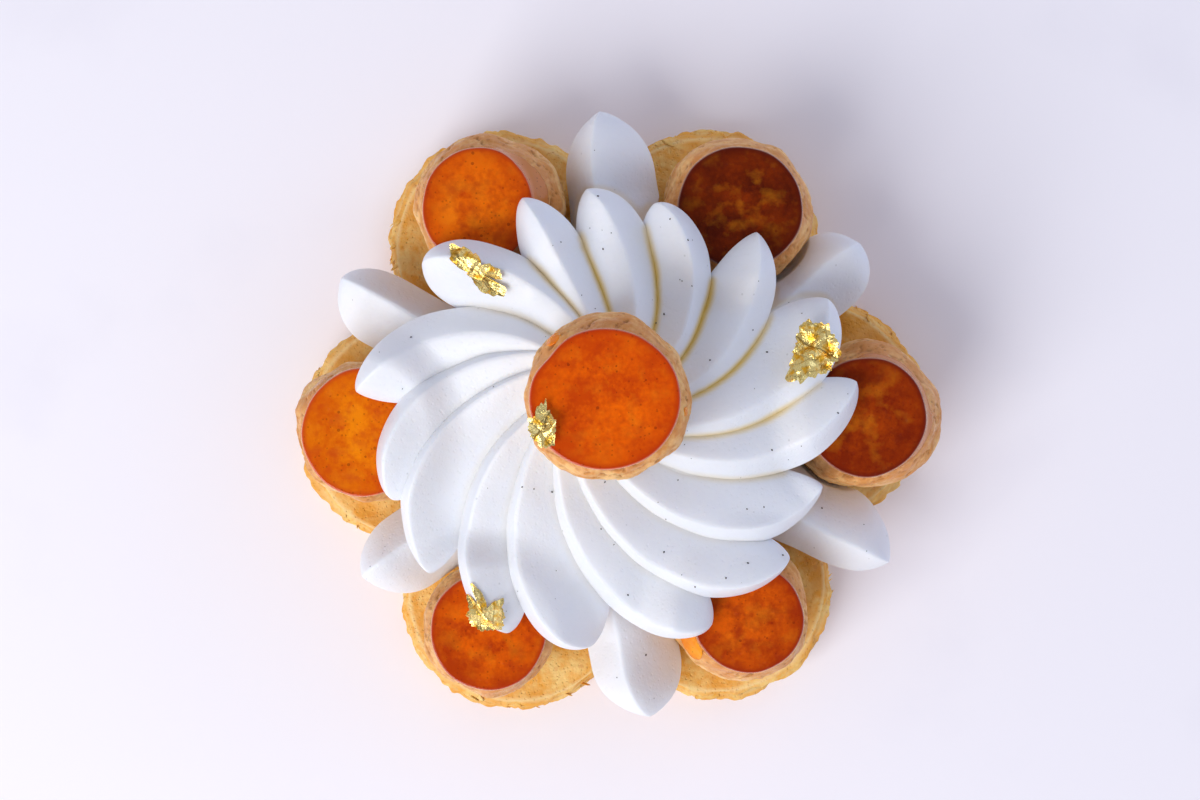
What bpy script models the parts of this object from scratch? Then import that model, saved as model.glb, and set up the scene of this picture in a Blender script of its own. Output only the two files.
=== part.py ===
"""Saint honore cake, 18 cm across, for six.

A six-lobed disc of puff pastry carries a ring of six choux buns, each with a flat disc of caramel
on it. Cream piped with a slit nozzle fills the middle: six wide petals stand between the buns, and
fifteen more turn round the seventh bun on top. Four flakes of gold leaf lie on the cream and on
the top caramel. Metres, +Z up, the origin is the middle of the underside.
"""

from __future__ import annotations

import math
from collections.abc import Callable
from dataclasses import dataclass

import bmesh
import bpy
import numpy as np

# Where the axis of the ring stands from the middle of the cake's own bounding box
RING_AXIS = (-0.0003, -0.0006)

# Gap that touching pieces keep
GAP = 0.0003

# Puff pastry disc
LOBE_RADIUS = 0.0323
LOBES = (
    (2.0, 0.0572),
    (62.0, 0.0566),
    (122.5, 0.0584),
    (183.5, 0.0574),
    (241.5, 0.0584),
    (302.0, 0.0572),
)
BASE_THICKNESS = 0.0140
BASE_TOP_LIP = 0.0030
BASE_CENTRE_RING = 0.0400
BASE_STEPS = 72
LAYER_EDGES = 6
LAYER_INSET = 0.0012
LAYER_DEPTH = 0.0007
LAYER_WAVE = 0.0005

# Waves round a layer's edge, to their share: how many, and how far they turn from layer to layer
LAYER_WAVES = ((1.0, 7, 2.1), (0.7, 17, -1.3))

# Choux buns, from the pastry up to the caramel
BUN_FOOT = BASE_THICKNESS + GAP
BUN_HEIGHT = 0.0320
BUN_FOOT_CUT = 0.86
BUN_TOP_CUT = 0.78
BUN_FULLNESS = 2.2
BUN_AROUND = 20
BUN_UP = 12
BUN_LUMP = 0.018
SMALL_LUMP = 0.6
TOP_BUN_FOOT = 0.0580
TOP_BUN_HEIGHT = 0.0312

# Caramel discs
CARAMEL_THICKNESS = 0.0030
CARAMEL_RIM = 0.0009
CARAMEL_FLAT = 0.94
CARAMEL_FOOT = 0.86
CARAMEL_STEPS = 28

# Cream under the petals: it stays below their creases, its slope through radii and heights
CORE_RADIUS = 0.0444
CORE_SHOULDER = 0.0515
CORE_SLOPE = ((0.0280, 0.0572), (0.0380, 0.0548))
CORE_TOP = 0.0605
CORE_TOP_RADIUS = 0.0165
CORE_STEPS = 36

# Piped petals: the crest's roof, and where and how a petal closes, pointed and by its bluntness
SECTION_POINTS = 12
PETAL_STATIONS = 10
STATION_SPACING = 1.5
CREST_POWER = 1.35
HIP_TILT = 0.08
FULL_WIDTH_AT = 0.60
CLOSE_FORM = 2.3
WIDTH_CLOSES = (0.45, 0.30)
WIDTH_POWER = (0.85, -0.35)
HEIGHT_CLOSES = (0.60, 0.25)
HEIGHT_POWER = 0.5

# Petals round the top bun, and how far they hang between the buns of the ring
ROSETTE_CENTRE = (-0.0010, 0.0040)
ROSETTE_START = 0.0120
ROSETTE_FLOOR = BUN_FOOT + BUN_HEIGHT + CARAMEL_THICKNESS + 2 * GAP
ROSETTE_ROOT = 0.0530
ROSETTE_THICKNESS = 0.0140
ROSETTE_TIP_THICKNESS = 0.0120
ROSETTE_EDGE = (0.32, 0.32)
ROSETTE_ROOT_WIDTH = 0.84
ROSETTE_STEP_ENDS = 0.45
SAG = 0.0060
SAG_FROM_RADIUS = 0.0280
SAG_BEGINS = 0.0185
SAG_ENDS = 0.0300
SAG_GROWS_OVER = 0.0280
SEAT_ROOM = 1.012

# Petals between the buns
SIDE_START = CORE_RADIUS + 3 * GAP
SIDE_FLOOR = BASE_THICKNESS + GAP
SIDE_TIP_FLOOR = 0.0230
SIDE_THICKNESS = 0.0285
SIDE_TIP_THICKNESS = 0.0160
SIDE_EDGE = (0.60, 0.42)
SIDE_ROOT_WIDTH = 1.05
SIDE_LIFTS_AT = 0.40
SIDE_LIFT_FORM = 1.4

# Gold leaf
LEAF_THICKNESS = 0.0004
LEAF_LIFT = 0.0009
LEAF_CRUMPLE = 0.0005
LEAF_CELLS = (6, 4)

# Folds steeper than this stay sharp in the shading, in degrees
FOLD_ANGLE = 40.0


@dataclass(frozen=True)
class Bun:
    """One bun and its caramel: places from the ring's axis, and the two radii of the caramel."""

    name: str
    place: tuple[float, float]
    radius: float
    caramel_place: tuple[float, float]
    caramel_radii: tuple[float, float]
    lump_turn: float


RING_BUNS = (
    Bun("1", (-0.0341, 0.0576), 0.0205, (-0.0363, 0.0567), (0.0148, 0.0161), 0.4),
    Bun("2", (0.0341, 0.0568), 0.0205, (0.0339, 0.0565), (0.0169, 0.0163), 1.9),
    Bun("3", (0.0697, 0.0008), 0.0205, (0.0677, 0.0004), (0.0161, 0.0161), 3.1),
    Bun("4", (0.0352, -0.0534), 0.0188, (0.0361, -0.0534), (0.0148, 0.0147), 4.4),
    Bun("5", (-0.0340, -0.0578), 0.0180, (-0.0335, -0.0569), (0.0156, 0.0157), 5.2),
    Bun("6", (-0.0678, -0.0033), 0.0195, (-0.0665, -0.0036), (0.0170, 0.0172), 6.0),
)
TOP_BUN = Bun("top", (-0.0017, 0.0056), 0.0212, (-0.0024, 0.0052), (0.0188, 0.0174), 2.5)


@dataclass(frozen=True)
class Petal:
    """One stroke of the nozzle, seen from above.

    The tip and the root are polar, in degrees and metres. The stroke bends clockwise by a share
    of its length, and its crest lies at a share of the width from the counterclockwise edge.
    A blunt tip is 1 and a pointed one 0.
    """

    tip_angle: float
    tip_reach: float
    root_angle: float
    bend: float
    clockwise_width: float
    counter_width: float
    crest: float
    blunt: float


ROSETTE_PETALS = (
    Petal(113.0, 0.0592, 92.0, 0.00, 0.0086, 0.0076, 0.52, 0.50),
    Petal(96.3, 0.0577, 70.0, 0.10, 0.0097, 0.0102, 0.60, 0.50),
    Petal(77.5, 0.0546, 40.0, 0.18, 0.0080, 0.0102, 0.72, 0.65),
    Petal(49.5, 0.0598, 8.0, 0.15, 0.0080, 0.0125, 0.70, 0.35),
    Petal(26.0, 0.0645, -18.0, 0.18, 0.0095, 0.0138, 0.70, 0.75),
    Petal(5.3, 0.0655, -43.0, 0.19, 0.0080, 0.0130, 0.72, 0.60),
    Petal(-21.0, 0.0605, -75.0, 0.19, 0.0097, 0.0120, 0.80, 0.45),
    Petal(-40.5, 0.0628, -107.0, 0.20, 0.0111, 0.0120, 0.84, 0.50),
    Petal(-64.8, 0.0642, -134.0, 0.18, 0.0100, 0.0125, 0.84, 0.85),
    Petal(-93.6, 0.0645, -148.0, 0.18, 0.0106, 0.0138, 0.86, 0.80),
    Petal(-113.6, 0.0662, -168.0, 0.20, 0.0084, 0.0110, 0.86, 0.75),
    Petal(-136.5, 0.0655, -199.0, 0.20, 0.0106, 0.0110, 0.86, 0.55),
    Petal(-156.0, 0.0630, -213.0, 0.20, 0.0110, 0.0118, 0.84, 0.60),
    Petal(177.3, 0.0672, 133.0, 0.20, 0.0080, 0.0156, 0.70, 0.55),
    Petal(143.8, 0.0620, 112.0, 0.13, 0.0086, 0.0106, 0.70, 0.85),
)

SIDE_PETALS = (
    Petal(92.4, 0.0850, 88.5, 0.00, 0.0133, 0.0115, 0.30, 0.25),
    Petal(34.8, 0.0838, 29.5, 0.00, 0.0110, 0.0115, 0.40, 0.75),
    Petal(-27.4, 0.0862, -28.0, 0.00, 0.0086, 0.0138, 0.65, 0.30),
    Petal(-82.8, 0.0832, -85.0, 0.00, 0.0138, 0.0112, 0.65, 0.40),
    Petal(212.3, 0.0820, 212.0, 0.00, 0.0100, 0.0122, 0.60, 0.50),
    Petal(152.8, 0.0846, 155.0, 0.00, 0.0084, 0.0126, 0.65, 0.60),
)


@dataclass(frozen=True)
class Stroke:
    """What the petals of one kind share: where they start, and their sections' form.

    edge is the share of the thickness at which a stroke is widest, at its root and its tip.
    root_width is its width at the root against its full width, and heights gives its floor and
    thickness along it.
    """

    start: float
    centre: tuple[float, float]
    edge: tuple[float, float]
    root_width: float
    heights: Callable[[np.ndarray], tuple[np.ndarray, np.ndarray]]

    def edge_at(self, along: np.ndarray) -> np.ndarray:
        """The share of the thickness at which the stroke is widest, at each place along it."""
        return self.edge[0] + (self.edge[1] - self.edge[0]) * along


@dataclass(frozen=True)
class Flake:
    """A flake of gold leaf on a rosette petal: its spans along and across that petal."""

    petal: int
    along: tuple[float, float]
    across: tuple[float, float]
    skew: float


FLAKES = (
    Flake(14, (0.58, 0.88), (-0.21, 0.07), 0.75),
    Flake(4, (0.64, 0.88), (-0.36, 0.90), 0.00),
    Flake(10, (0.84, 0.98), (-0.35, 0.90), 0.00),
)
TOP_FLAKE_ANGLE = 203.0
TOP_FLAKE_INSET = 0.0024
TOP_FLAKE_SIZE = (0.0062, 0.0122)


def clear_scene() -> None:
    """Removes every object that the file starts with."""
    for thing in list(bpy.data.objects):
        bpy.data.objects.remove(thing, do_unlink=True)


def new_collection(name: str, shown: bool = True) -> bpy.types.Collection:
    """Makes a collection under the scene's own."""
    collection = bpy.data.collections.new(name)
    bpy.context.scene.collection.children.link(collection)
    collection.hide_render = not shown
    return collection


def material(
    name: str,
    colour: tuple[float, float, float],
    roughness: float,
    metallic: float = 0.0,
) -> bpy.types.Material:
    """Makes a Principled material of one colour."""
    finish = bpy.data.materials.new(name)
    finish.use_nodes = True
    shader = finish.node_tree.nodes["Principled BSDF"]
    shader.inputs["Base Color"].default_value = (*colour, 1.0)
    shader.inputs["Roughness"].default_value = roughness
    shader.inputs["Metallic"].default_value = metallic
    finish.diffuse_color = (*colour, 1.0)
    return finish


def add_object(
    name: str,
    mesh: bpy.types.Mesh,
    collection: bpy.types.Collection,
    finish: bpy.types.Material | None = None,
    parent: bpy.types.Object | None = None,
) -> bpy.types.Object:
    """Links a mesh as an object, smooth with its sharp folds kept."""
    thing = bpy.data.objects.new(name, mesh)
    collection.objects.link(thing)
    mesh.shade_smooth()
    mesh.set_sharp_from_angle(angle=math.radians(FOLD_ANGLE))
    if finish is not None:
        mesh.materials.append(finish)
    if parent is not None:
        thing.parent = parent
    return thing


def lofted_mesh(name: str, rings: np.ndarray, first: np.ndarray, last: np.ndarray) -> bpy.types.Mesh:
    """Skins rings of points, and closes both ends with a fan to one point each.

    rings has a row for each ring and a column for each point round it.
    """
    count, around, _ = rings.shape
    build = bmesh.new()
    grid = [[build.verts.new(point) for point in ring] for ring in rings]
    start, end = build.verts.new(first), build.verts.new(last)
    for k in range(around):
        after = (k + 1) % around
        build.faces.new((start, grid[0][after], grid[0][k]))
        build.faces.new((end, grid[-1][k], grid[-1][after]))
        for i in range(count - 1):
            build.faces.new((grid[i][k], grid[i][after], grid[i + 1][after], grid[i + 1][k]))
    bmesh.ops.recalc_face_normals(build, faces=build.faces)
    mesh = bpy.data.meshes.new(name)
    build.to_mesh(mesh)
    build.free()
    return mesh


def lobed_radius(angles: np.ndarray) -> np.ndarray:
    """Outline of the overlapping circles of the lobes: the furthest radius at each angle."""
    furthest = np.zeros_like(angles)
    for lobe_angle, distance in LOBES:
        off = angles - math.radians(lobe_angle)
        under_root = LOBE_RADIUS**2 - (distance * np.sin(off)) ** 2
        met = (under_root > 0) & (np.cos(off) > 0)
        radius = distance * np.cos(off) + np.sqrt(np.maximum(under_root, 0))
        furthest = np.maximum(furthest, np.where(met, radius, 0))
    return furthest


def puff_base() -> bpy.types.Mesh:
    """Pastry disc with the edges of its layers standing out round the side."""
    angles = np.linspace(0, 2 * math.pi, BASE_STEPS, endpoint=False)
    outline = lobed_radius(angles)
    ways = np.stack([np.cos(angles), np.sin(angles)], axis=1)
    levels = 2 * LAYER_EDGES + 1
    rings = []
    for i in range(levels):
        z = BASE_THICKNESS * i / levels
        step = LAYER_DEPTH if i % 2 else -LAYER_DEPTH
        wave = sum(share * np.sin(count * angles + turn * i) for share, count, turn in LAYER_WAVES)
        radius = outline - LAYER_INSET + step + (LAYER_WAVE * wave if i else 0)
        rings.append(np.column_stack([ways * radius[:, None], np.full(BASE_STEPS, z)]))
    lip = outline - BASE_TOP_LIP
    rings.append(np.column_stack([ways * lip[:, None], np.full(BASE_STEPS, BASE_THICKNESS)]))
    inner = np.full(BASE_STEPS, BASE_CENTRE_RING)
    rings.append(np.column_stack([ways * inner[:, None], np.full(BASE_STEPS, BASE_THICKNESS)]))
    return lofted_mesh("puff_base", np.array(rings), np.zeros(3), np.array([0, 0, BASE_THICKNESS]))


def bun_mesh(name: str, radius: float, height: float, turn: float) -> bpy.types.Mesh:
    """A full, slightly lumpy bun with a flat foot and a flat top, its foot at the origin."""
    build = bmesh.new()
    bmesh.ops.create_uvsphere(build, u_segments=BUN_AROUND, v_segments=BUN_UP, radius=1.0)
    half = height / (BUN_FOOT_CUT + BUN_TOP_CUT)
    for vert in build.verts:
        angle = math.atan2(vert.co.y, vert.co.x)
        tilt = math.asin(max(-1.0, min(1.0, vert.co.z)))
        up = math.copysign(abs(math.sin(tilt)) ** (2 / BUN_FULLNESS), tilt)
        out = abs(math.cos(tilt)) ** (2 / BUN_FULLNESS)
        small = SMALL_LUMP * math.sin(5 * angle - 2 * turn + 2 * up)
        reach = radius * out * (1 + BUN_LUMP * (math.sin(3 * angle + turn) + small))
        vert.co.x = reach * math.cos(angle)
        vert.co.y = reach * math.sin(angle)
        vert.co.z = half * (max(-BUN_FOOT_CUT, min(BUN_TOP_CUT, up)) + BUN_FOOT_CUT)
    mesh = bpy.data.meshes.new(name)
    build.to_mesh(mesh)
    build.free()
    return mesh


def half_section(name: str, points: tuple[tuple[float, float], ...]) -> bpy.types.Mesh:
    """Profile through radii and heights, from its top down its outer side, ready to be turned."""
    mesh = bpy.data.meshes.new(name)
    edges = [(i, i + 1) for i in range(len(points) - 1)]
    mesh.from_pydata([(x, 0.0, z) for x, z in points], edges, [])
    return mesh


def turn_profile(thing: bpy.types.Object, steps: int) -> None:
    """Turns an object's profile round its own axis."""
    screw = thing.modifiers.new("turn", "SCREW")
    screw.steps = steps
    screw.render_steps = steps
    screw.use_merge_vertices = True
    screw.merge_threshold = 0.0001


def add_caramel(
    name: str,
    bun: Bun,
    foot: float,
    collection: bpy.types.Collection,
    finish: bpy.types.Material,
    parent: bpy.types.Object,
) -> bpy.types.Object:
    """A turned disc of caramel of radius 1, stretched to the two radii of its bun's disc."""
    top = CARAMEL_THICKNESS
    side = ((CARAMEL_FLAT, top), (1.0, top - CARAMEL_RIM), (CARAMEL_FOOT, 0.0))
    profile = half_section(name, ((0.0, top), *side, (0.0, 0.0)))
    disc = add_object(name, profile, collection, finish, parent)
    disc.location = (*bun.caramel_place, foot)
    disc.scale = (*bun.caramel_radii, 1.0)
    turn_profile(disc, CARAMEL_STEPS)
    return disc


def spine(petal: Petal, stroke: Stroke, along: np.ndarray) -> tuple[np.ndarray, np.ndarray]:
    """Points and clockwise side directions of a stroke seen from above: a quadratic curve."""
    root_angle, tip_angle = math.radians(petal.root_angle), math.radians(petal.tip_angle)
    root = stroke.start * np.array([math.cos(root_angle), math.sin(root_angle)])
    tip = petal.tip_reach * np.array([math.cos(tip_angle), math.sin(tip_angle)])
    chord = tip - root
    middle = (root + tip) / 2 + 2 * petal.bend * np.array([chord[1], -chord[0]])
    t = along[:, None]
    points = (1 - t) ** 2 * root + 2 * t * (1 - t) * middle + t**2 * tip
    ahead = (1 - t) * (middle - root) + t * (tip - middle)
    ahead /= np.linalg.norm(ahead, axis=1)[:, None]
    return points + np.array(stroke.centre), np.stack([ahead[:, 1], -ahead[:, 0]], axis=1)


def closing(along: np.ndarray, begin: float, power: float) -> np.ndarray:
    """How far a stroke has closed towards its tip, from 1 down to 0."""
    part = np.clip((along - begin) / (1 - begin), 0, 1)
    return (1 - part**CLOSE_FORM) ** power


def by_bluntness(pointed_and_change: tuple[float, float], blunt: float) -> float:
    """A value that a pointed tip has, changed in step with how blunt the tip is."""
    return pointed_and_change[0] + pointed_and_change[1] * blunt


def petal_surface(
    petal: Petal,
    stroke: Stroke,
    along: np.ndarray,
    across: np.ndarray,
    upper: np.ndarray,
) -> np.ndarray:
    """Points of a stroke's skin.

    along runs from root to tip, and across from -1 at the counterclockwise edge to 1 at the
    clockwise edge. The upper side is a roof whose ridge is the crest, and the lower side is flat
    with rounded edges.
    """
    points, side = spine(petal, stroke, along)
    floor, thickness = stroke.heights(along)
    opened = np.sin(np.clip(along / FULL_WIDTH_AT, 0, 1) * math.pi / 2)
    swell = stroke.root_width + (1 - stroke.root_width) * opened
    width_closes = by_bluntness(WIDTH_CLOSES, petal.blunt)
    width = swell * closing(along, width_closes, by_bluntness(WIDTH_POWER, petal.blunt))
    height = thickness * closing(along, by_bluntness(HEIGHT_CLOSES, petal.blunt), HEIGHT_POWER)
    x = across[None, :]
    span = petal.clockwise_width + petal.counter_width
    crest = petal.crest * span - petal.counter_width
    reach = np.where(x > 0, petal.clockwise_width - crest, petal.counter_width + crest)
    offset = (crest + x * reach) * width[:, None]
    edge = stroke.edge_at(along)
    hip = edge[:, None] + HIP_TILT * x
    roof = hip + (1 - hip) * (1 - np.abs(x) ** CREST_POWER)
    keel = hip * (1 - np.sqrt(np.clip(1 - x**2, 0, 1)))
    rise = np.where(upper[None, :], roof, keel) * height[:, None]
    lift = (floor + edge * (thickness - height))[:, None]
    flat = points[:, None, :] + side[:, None, :] * offset[:, :, None]
    return np.concatenate([flat, (lift + rise)[:, :, None]], axis=2)


def petal_rings(petal: Petal, stroke: Stroke, along: np.ndarray) -> np.ndarray:
    """Closed sections of a stroke, at each station along it."""
    turn = np.linspace(0, 2 * math.pi, SECTION_POINTS, endpoint=False)
    upper = np.sin(turn) >= -1e-9
    return petal_surface(petal, stroke, along, np.cos(turn), upper)


def nose_point(petal: Petal, stroke: Stroke) -> np.ndarray:
    """Where a stroke's skin closes at its tip."""
    tip, _ = spine(petal, stroke, np.array([1.0]))
    floor, thickness = stroke.heights(np.array([1.0]))
    return np.array([*tip[0], floor[0] + stroke.edge[1] * thickness[0]])


def stations() -> np.ndarray:
    """Places along a stroke, closer together towards the tip, without the tip itself."""
    return 1 - (1 - np.linspace(0, 1, PETAL_STATIONS + 1)[:-1]) ** STATION_SPACING


def smooth_step(value: np.ndarray) -> np.ndarray:
    """Eased step from 0 to 1."""
    value = np.clip(value, 0, 1)
    return value * value * (3 - 2 * value)


def sagged(points: np.ndarray) -> np.ndarray:
    """Lets the cream hang lower between the buns of the ring, out past the core."""
    flat = points[..., :2]
    nearest = np.full(flat.shape[:-1], 1.0)
    for bun in RING_BUNS:
        nearest = np.minimum(nearest, np.linalg.norm(flat - np.array(bun.place), axis=-1))
    between = smooth_step((nearest - SAG_BEGINS) / (SAG_ENDS - SAG_BEGINS))
    outside = smooth_step((np.linalg.norm(flat, axis=-1) - SAG_FROM_RADIUS) / SAG_GROWS_OVER)
    moved = points.copy()
    moved[..., 2] -= SAG * between * outside
    return moved


def rosette_heights(along: np.ndarray) -> tuple[np.ndarray, np.ndarray]:
    """Floor and thickness of a rosette petal: it steps down off the core and lies level."""
    fall = np.clip(1 - along / ROSETTE_STEP_ENDS, 0, 1) ** 2
    floor = ROSETTE_FLOOR + (ROSETTE_ROOT - ROSETTE_FLOOR) * fall
    return floor, ROSETTE_THICKNESS + (ROSETTE_TIP_THICKNESS - ROSETTE_THICKNESS) * along


def side_heights(along: np.ndarray) -> tuple[np.ndarray, np.ndarray]:
    """Floor and thickness of a side petal: it leaves the pastry halfway and rises to its tip."""
    rise = np.clip((along - SIDE_LIFTS_AT) / (1 - SIDE_LIFTS_AT), 0, 1) ** SIDE_LIFT_FORM
    floor = SIDE_FLOOR + (SIDE_TIP_FLOOR - SIDE_FLOOR) * rise
    return floor, SIDE_THICKNESS + (SIDE_TIP_THICKNESS - SIDE_THICKNESS) * along


ROSETTE_STROKE = Stroke(ROSETTE_START, ROSETTE_CENTRE, ROSETTE_EDGE, ROSETTE_ROOT_WIDTH, rosette_heights)
SIDE_STROKE = Stroke(SIDE_START, (0.0, 0.0), SIDE_EDGE, SIDE_ROOT_WIDTH, side_heights)


def rosette_petal(name: str, petal: Petal) -> bpy.types.Mesh:
    """Closed skin of one rosette petal."""
    rings = sagged(petal_rings(petal, ROSETTE_STROKE, stations()))
    nose = sagged(nose_point(petal, ROSETTE_STROKE))
    return lofted_mesh(name, rings, rings[0].mean(axis=0), nose)


def clear_of_buns(points: np.ndarray) -> np.ndarray:
    """Presses soft cream out of the buns: a point inside one moves straight out to its skin."""
    half = BUN_HEIGHT / (BUN_FOOT_CUT + BUN_TOP_CUT)
    moved = points.copy()
    largest_lump = 1 + BUN_LUMP * (1 + SMALL_LUMP)
    for bun in RING_BUNS:
        middle = np.array([*bun.place, BUN_FOOT + half * BUN_FOOT_CUT])
        radii = np.array([bun.radius, bun.radius, half]) * largest_lump + 2 * GAP
        from_middle = (moved - middle) / radii
        depth = (np.abs(from_middle) ** BUN_FULLNESS).sum(axis=-1, keepdims=True)
        grow = np.where(depth < 1, np.maximum(depth, 1e-6) ** (-1 / BUN_FULLNESS), 1.0)
        moved[..., :2] = (middle + from_middle * radii * grow)[..., :2]
    return moved


def side_petal(name: str, petal: Petal) -> bpy.types.Mesh:
    """Closed skin of one petal between two buns."""
    rings = clear_of_buns(petal_rings(petal, SIDE_STROKE, stations()))
    return lofted_mesh(name, rings, rings[0].mean(axis=0), nose_point(petal, SIDE_STROKE))


def applied(thing: bpy.types.Object, name: str) -> bpy.types.Mesh:
    """The mesh that an object's modifiers make, as a mesh of its own."""
    bpy.context.view_layer.update()
    graph = bpy.context.evaluated_depsgraph_get()
    mesh = bpy.data.meshes.new_from_object(thing.evaluated_get(graph))
    mesh.name = name
    return mesh


def joined_cream() -> bpy.types.Mesh:
    """The cream mound and the fifteen rosette petals as one closed skin."""
    strokes = new_collection("rosette_strokes", shown=False)
    for number, petal in enumerate(ROSETTE_PETALS, 1):
        name = f"stroke_{number}"
        add_object(name, rosette_petal(name, petal), strokes)
    shoulder = ((CORE_TOP_RADIUS, CORE_TOP), *CORE_SLOPE, (CORE_RADIUS, CORE_SHOULDER))
    foot = ((CORE_RADIUS, SIDE_FLOOR), (0.0, SIDE_FLOOR))
    mound = add_object("mound", half_section("mound", ((0.0, CORE_TOP), *shoulder, *foot)), strokes)
    turn_profile(mound, CORE_STEPS)
    body = bpy.data.objects.new("joining", applied(mound, "joining"))
    bpy.data.objects.remove(mound)
    bpy.context.scene.collection.objects.link(body)
    union = body.modifiers.new("join", "BOOLEAN")
    union.operation = "UNION"
    union.operand_type = "COLLECTION"
    union.collection = strokes
    union.solver = "MANIFOLD"
    joined = applied(body, "cream_rosette")
    for stroke in [body, *strokes.objects]:
        bpy.data.objects.remove(stroke)
    bpy.data.collections.remove(strokes)
    return joined


def add_rosette(
    collection: bpy.types.Collection,
    cutters: bpy.types.Collection,
    finish: bpy.types.Material,
    parent: bpy.types.Object,
) -> bpy.types.Object:
    """The cream on top in one body, with the seat of the top bun cut out of it."""
    rosette = add_object("cream_rosette", joined_cream(), collection, finish, parent)
    seat_radius = TOP_BUN.radius * SEAT_ROOM + GAP
    seat_mesh = bun_mesh("bun_seat", seat_radius, TOP_BUN_HEIGHT, TOP_BUN.lump_turn)
    seat = add_object("bun_seat", seat_mesh, cutters, None, parent)
    seat.location = (*TOP_BUN.place, TOP_BUN_FOOT - GAP)
    seat.hide_render = True
    seat.display_type = "WIRE"
    cut = rosette.modifiers.new("seat", "BOOLEAN")
    cut.operation = "DIFFERENCE"
    cut.object = seat
    cut.solver = "MANIFOLD"
    return rosette


def crumple(share: float, side: float) -> float:
    """Height of the crumpling at a place on a flake, from 0 up."""
    return LEAF_CRUMPLE * (1 + math.sin(9 * share + 5 * side) * math.cos(7 * side - 4 * share))


def crumpled_grid(name: str, place: Callable[[float, float], tuple[float, ...]]) -> bpy.types.Mesh:
    """A grid of triangles whose corners are put in place by a function of two shares."""
    build = bmesh.new()
    bmesh.ops.create_grid(build, x_segments=LEAF_CELLS[0], y_segments=LEAF_CELLS[1], size=0.5)
    for vert in build.verts:
        vert.co = place(vert.co.x + 0.5, vert.co.y + 0.5)
    bmesh.ops.triangulate(build, faces=build.faces)
    build.normal_update()
    if sum(face.normal.z for face in build.faces) < 0:
        bmesh.ops.reverse_faces(build, faces=build.faces)
    mesh = bpy.data.meshes.new(name)
    build.to_mesh(mesh)
    build.free()
    return mesh


def add_leaf(
    name: str,
    mesh: bpy.types.Mesh,
    collection: bpy.types.Collection,
    finish: bpy.types.Material,
    parent: bpy.types.Object,
) -> bpy.types.Object:
    """A flake with its thickness, on the upper side of its sheet."""
    leaf = add_object(name, mesh, collection, finish, parent)
    shell = leaf.modifiers.new("thickness", "SOLIDIFY")
    shell.thickness = LEAF_THICKNESS
    shell.offset = 1.0
    return leaf


def petal_flake(name: str, flake: Flake) -> bpy.types.Mesh:
    """Gold leaf that follows the top of a rosette petal a little above it."""
    petal = ROSETTE_PETALS[flake.petal]

    def place(share: float, side: float) -> tuple[float, ...]:
        along = flake.along[0] + (flake.along[1] - flake.along[0]) * share
        across = flake.across[0] + (flake.across[1] - flake.across[0]) * side
        across += flake.skew * (share - 0.5)
        shares = np.array([along]), np.array([across])
        skin = petal_surface(petal, ROSETTE_STROKE, *shares, np.array([True]))
        point = sagged(skin)[0, 0]
        return (point[0], point[1], point[2] + LEAF_LIFT + crumple(share, side))

    return crumpled_grid(name, place)


def top_flake(name: str, caramel_top: float) -> bpy.types.Mesh:
    """Gold leaf on the left edge of the top caramel, its long side along the rim."""
    angle = math.radians(TOP_FLAKE_ANGLE)
    out = np.array([math.cos(angle), math.sin(angle)])
    round_rim = np.array([-out[1], out[0]])
    middle = np.array(TOP_BUN.caramel_place) + out * (TOP_BUN.caramel_radii[0] - TOP_FLAKE_INSET)

    def place(share: float, side: float) -> tuple[float, ...]:
        across = (side - 0.5) * TOP_FLAKE_SIZE[0]
        run = (share - 0.5) * TOP_FLAKE_SIZE[1]
        point = middle + out * across + round_rim * run
        return (point[0], point[1], caramel_top + GAP + crumple(share, side))

    return crumpled_grid(name, place)


def build_cake() -> None:
    """Builds every piece of the cake under one empty on the axis of the ring."""
    clear_scene()
    cake = new_collection("saint_honore_cake")
    cutters = new_collection("cutters", shown=False)
    pastry = material("puff_pastry", (0.84, 0.53, 0.20), 0.62)
    choux = material("choux_crust", (0.78, 0.47, 0.20), 0.55)
    caramel = material("caramel", (0.62, 0.16, 0.02), 0.12)
    cream = material("vanilla_cream", (0.92, 0.92, 0.90), 0.42)
    gold = material("gold_leaf", (0.95, 0.72, 0.28), 0.25, 1.0)

    axis = bpy.data.objects.new("ring_axis", None)
    axis.location = (*RING_AXIS, 0.0)
    cake.objects.link(axis)

    add_object("puff_base", puff_base(), cake, pastry, axis)
    for bun in (*RING_BUNS, TOP_BUN):
        foot = TOP_BUN_FOOT if bun is TOP_BUN else BUN_FOOT
        height = TOP_BUN_HEIGHT if bun is TOP_BUN else BUN_HEIGHT
        name = f"choux_{bun.name}"
        body = add_object(name, bun_mesh(name, bun.radius, height, bun.lump_turn), cake, choux, axis)
        body.location = (*bun.place, foot)
        add_caramel(f"caramel_{bun.name}", bun, foot + height + GAP, cake, caramel, axis)
    for number, petal in enumerate(SIDE_PETALS, 1):
        name = f"cream_petal_{number}"
        add_object(name, side_petal(name, petal), cake, cream, axis)
    add_rosette(cake, cutters, cream, axis)
    for number, flake in enumerate(FLAKES, 1):
        name = f"gold_leaf_{number}"
        add_leaf(name, petal_flake(name, flake), cake, gold, axis)
    caramel_top = TOP_BUN_FOOT + TOP_BUN_HEIGHT + GAP + CARAMEL_THICKNESS
    add_leaf("gold_leaf_4", top_flake("gold_leaf_4", caramel_top), cake, gold, axis)


build_cake()
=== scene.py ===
"""Saint honore cake, dressed: fine surfaces and finishes over the cake's solids.

Every edible piece of the solids is replaced by a finer one of the same form: flaky pastry, cracked
choux, poured caramel, piped cream and crumpled gold leaf. Metres, +Z up, the cake's own frame.
"""

from __future__ import annotations

import itertools
import logging
import math
from collections.abc import Callable
from dataclasses import dataclass, field
from enum import Enum

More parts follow.
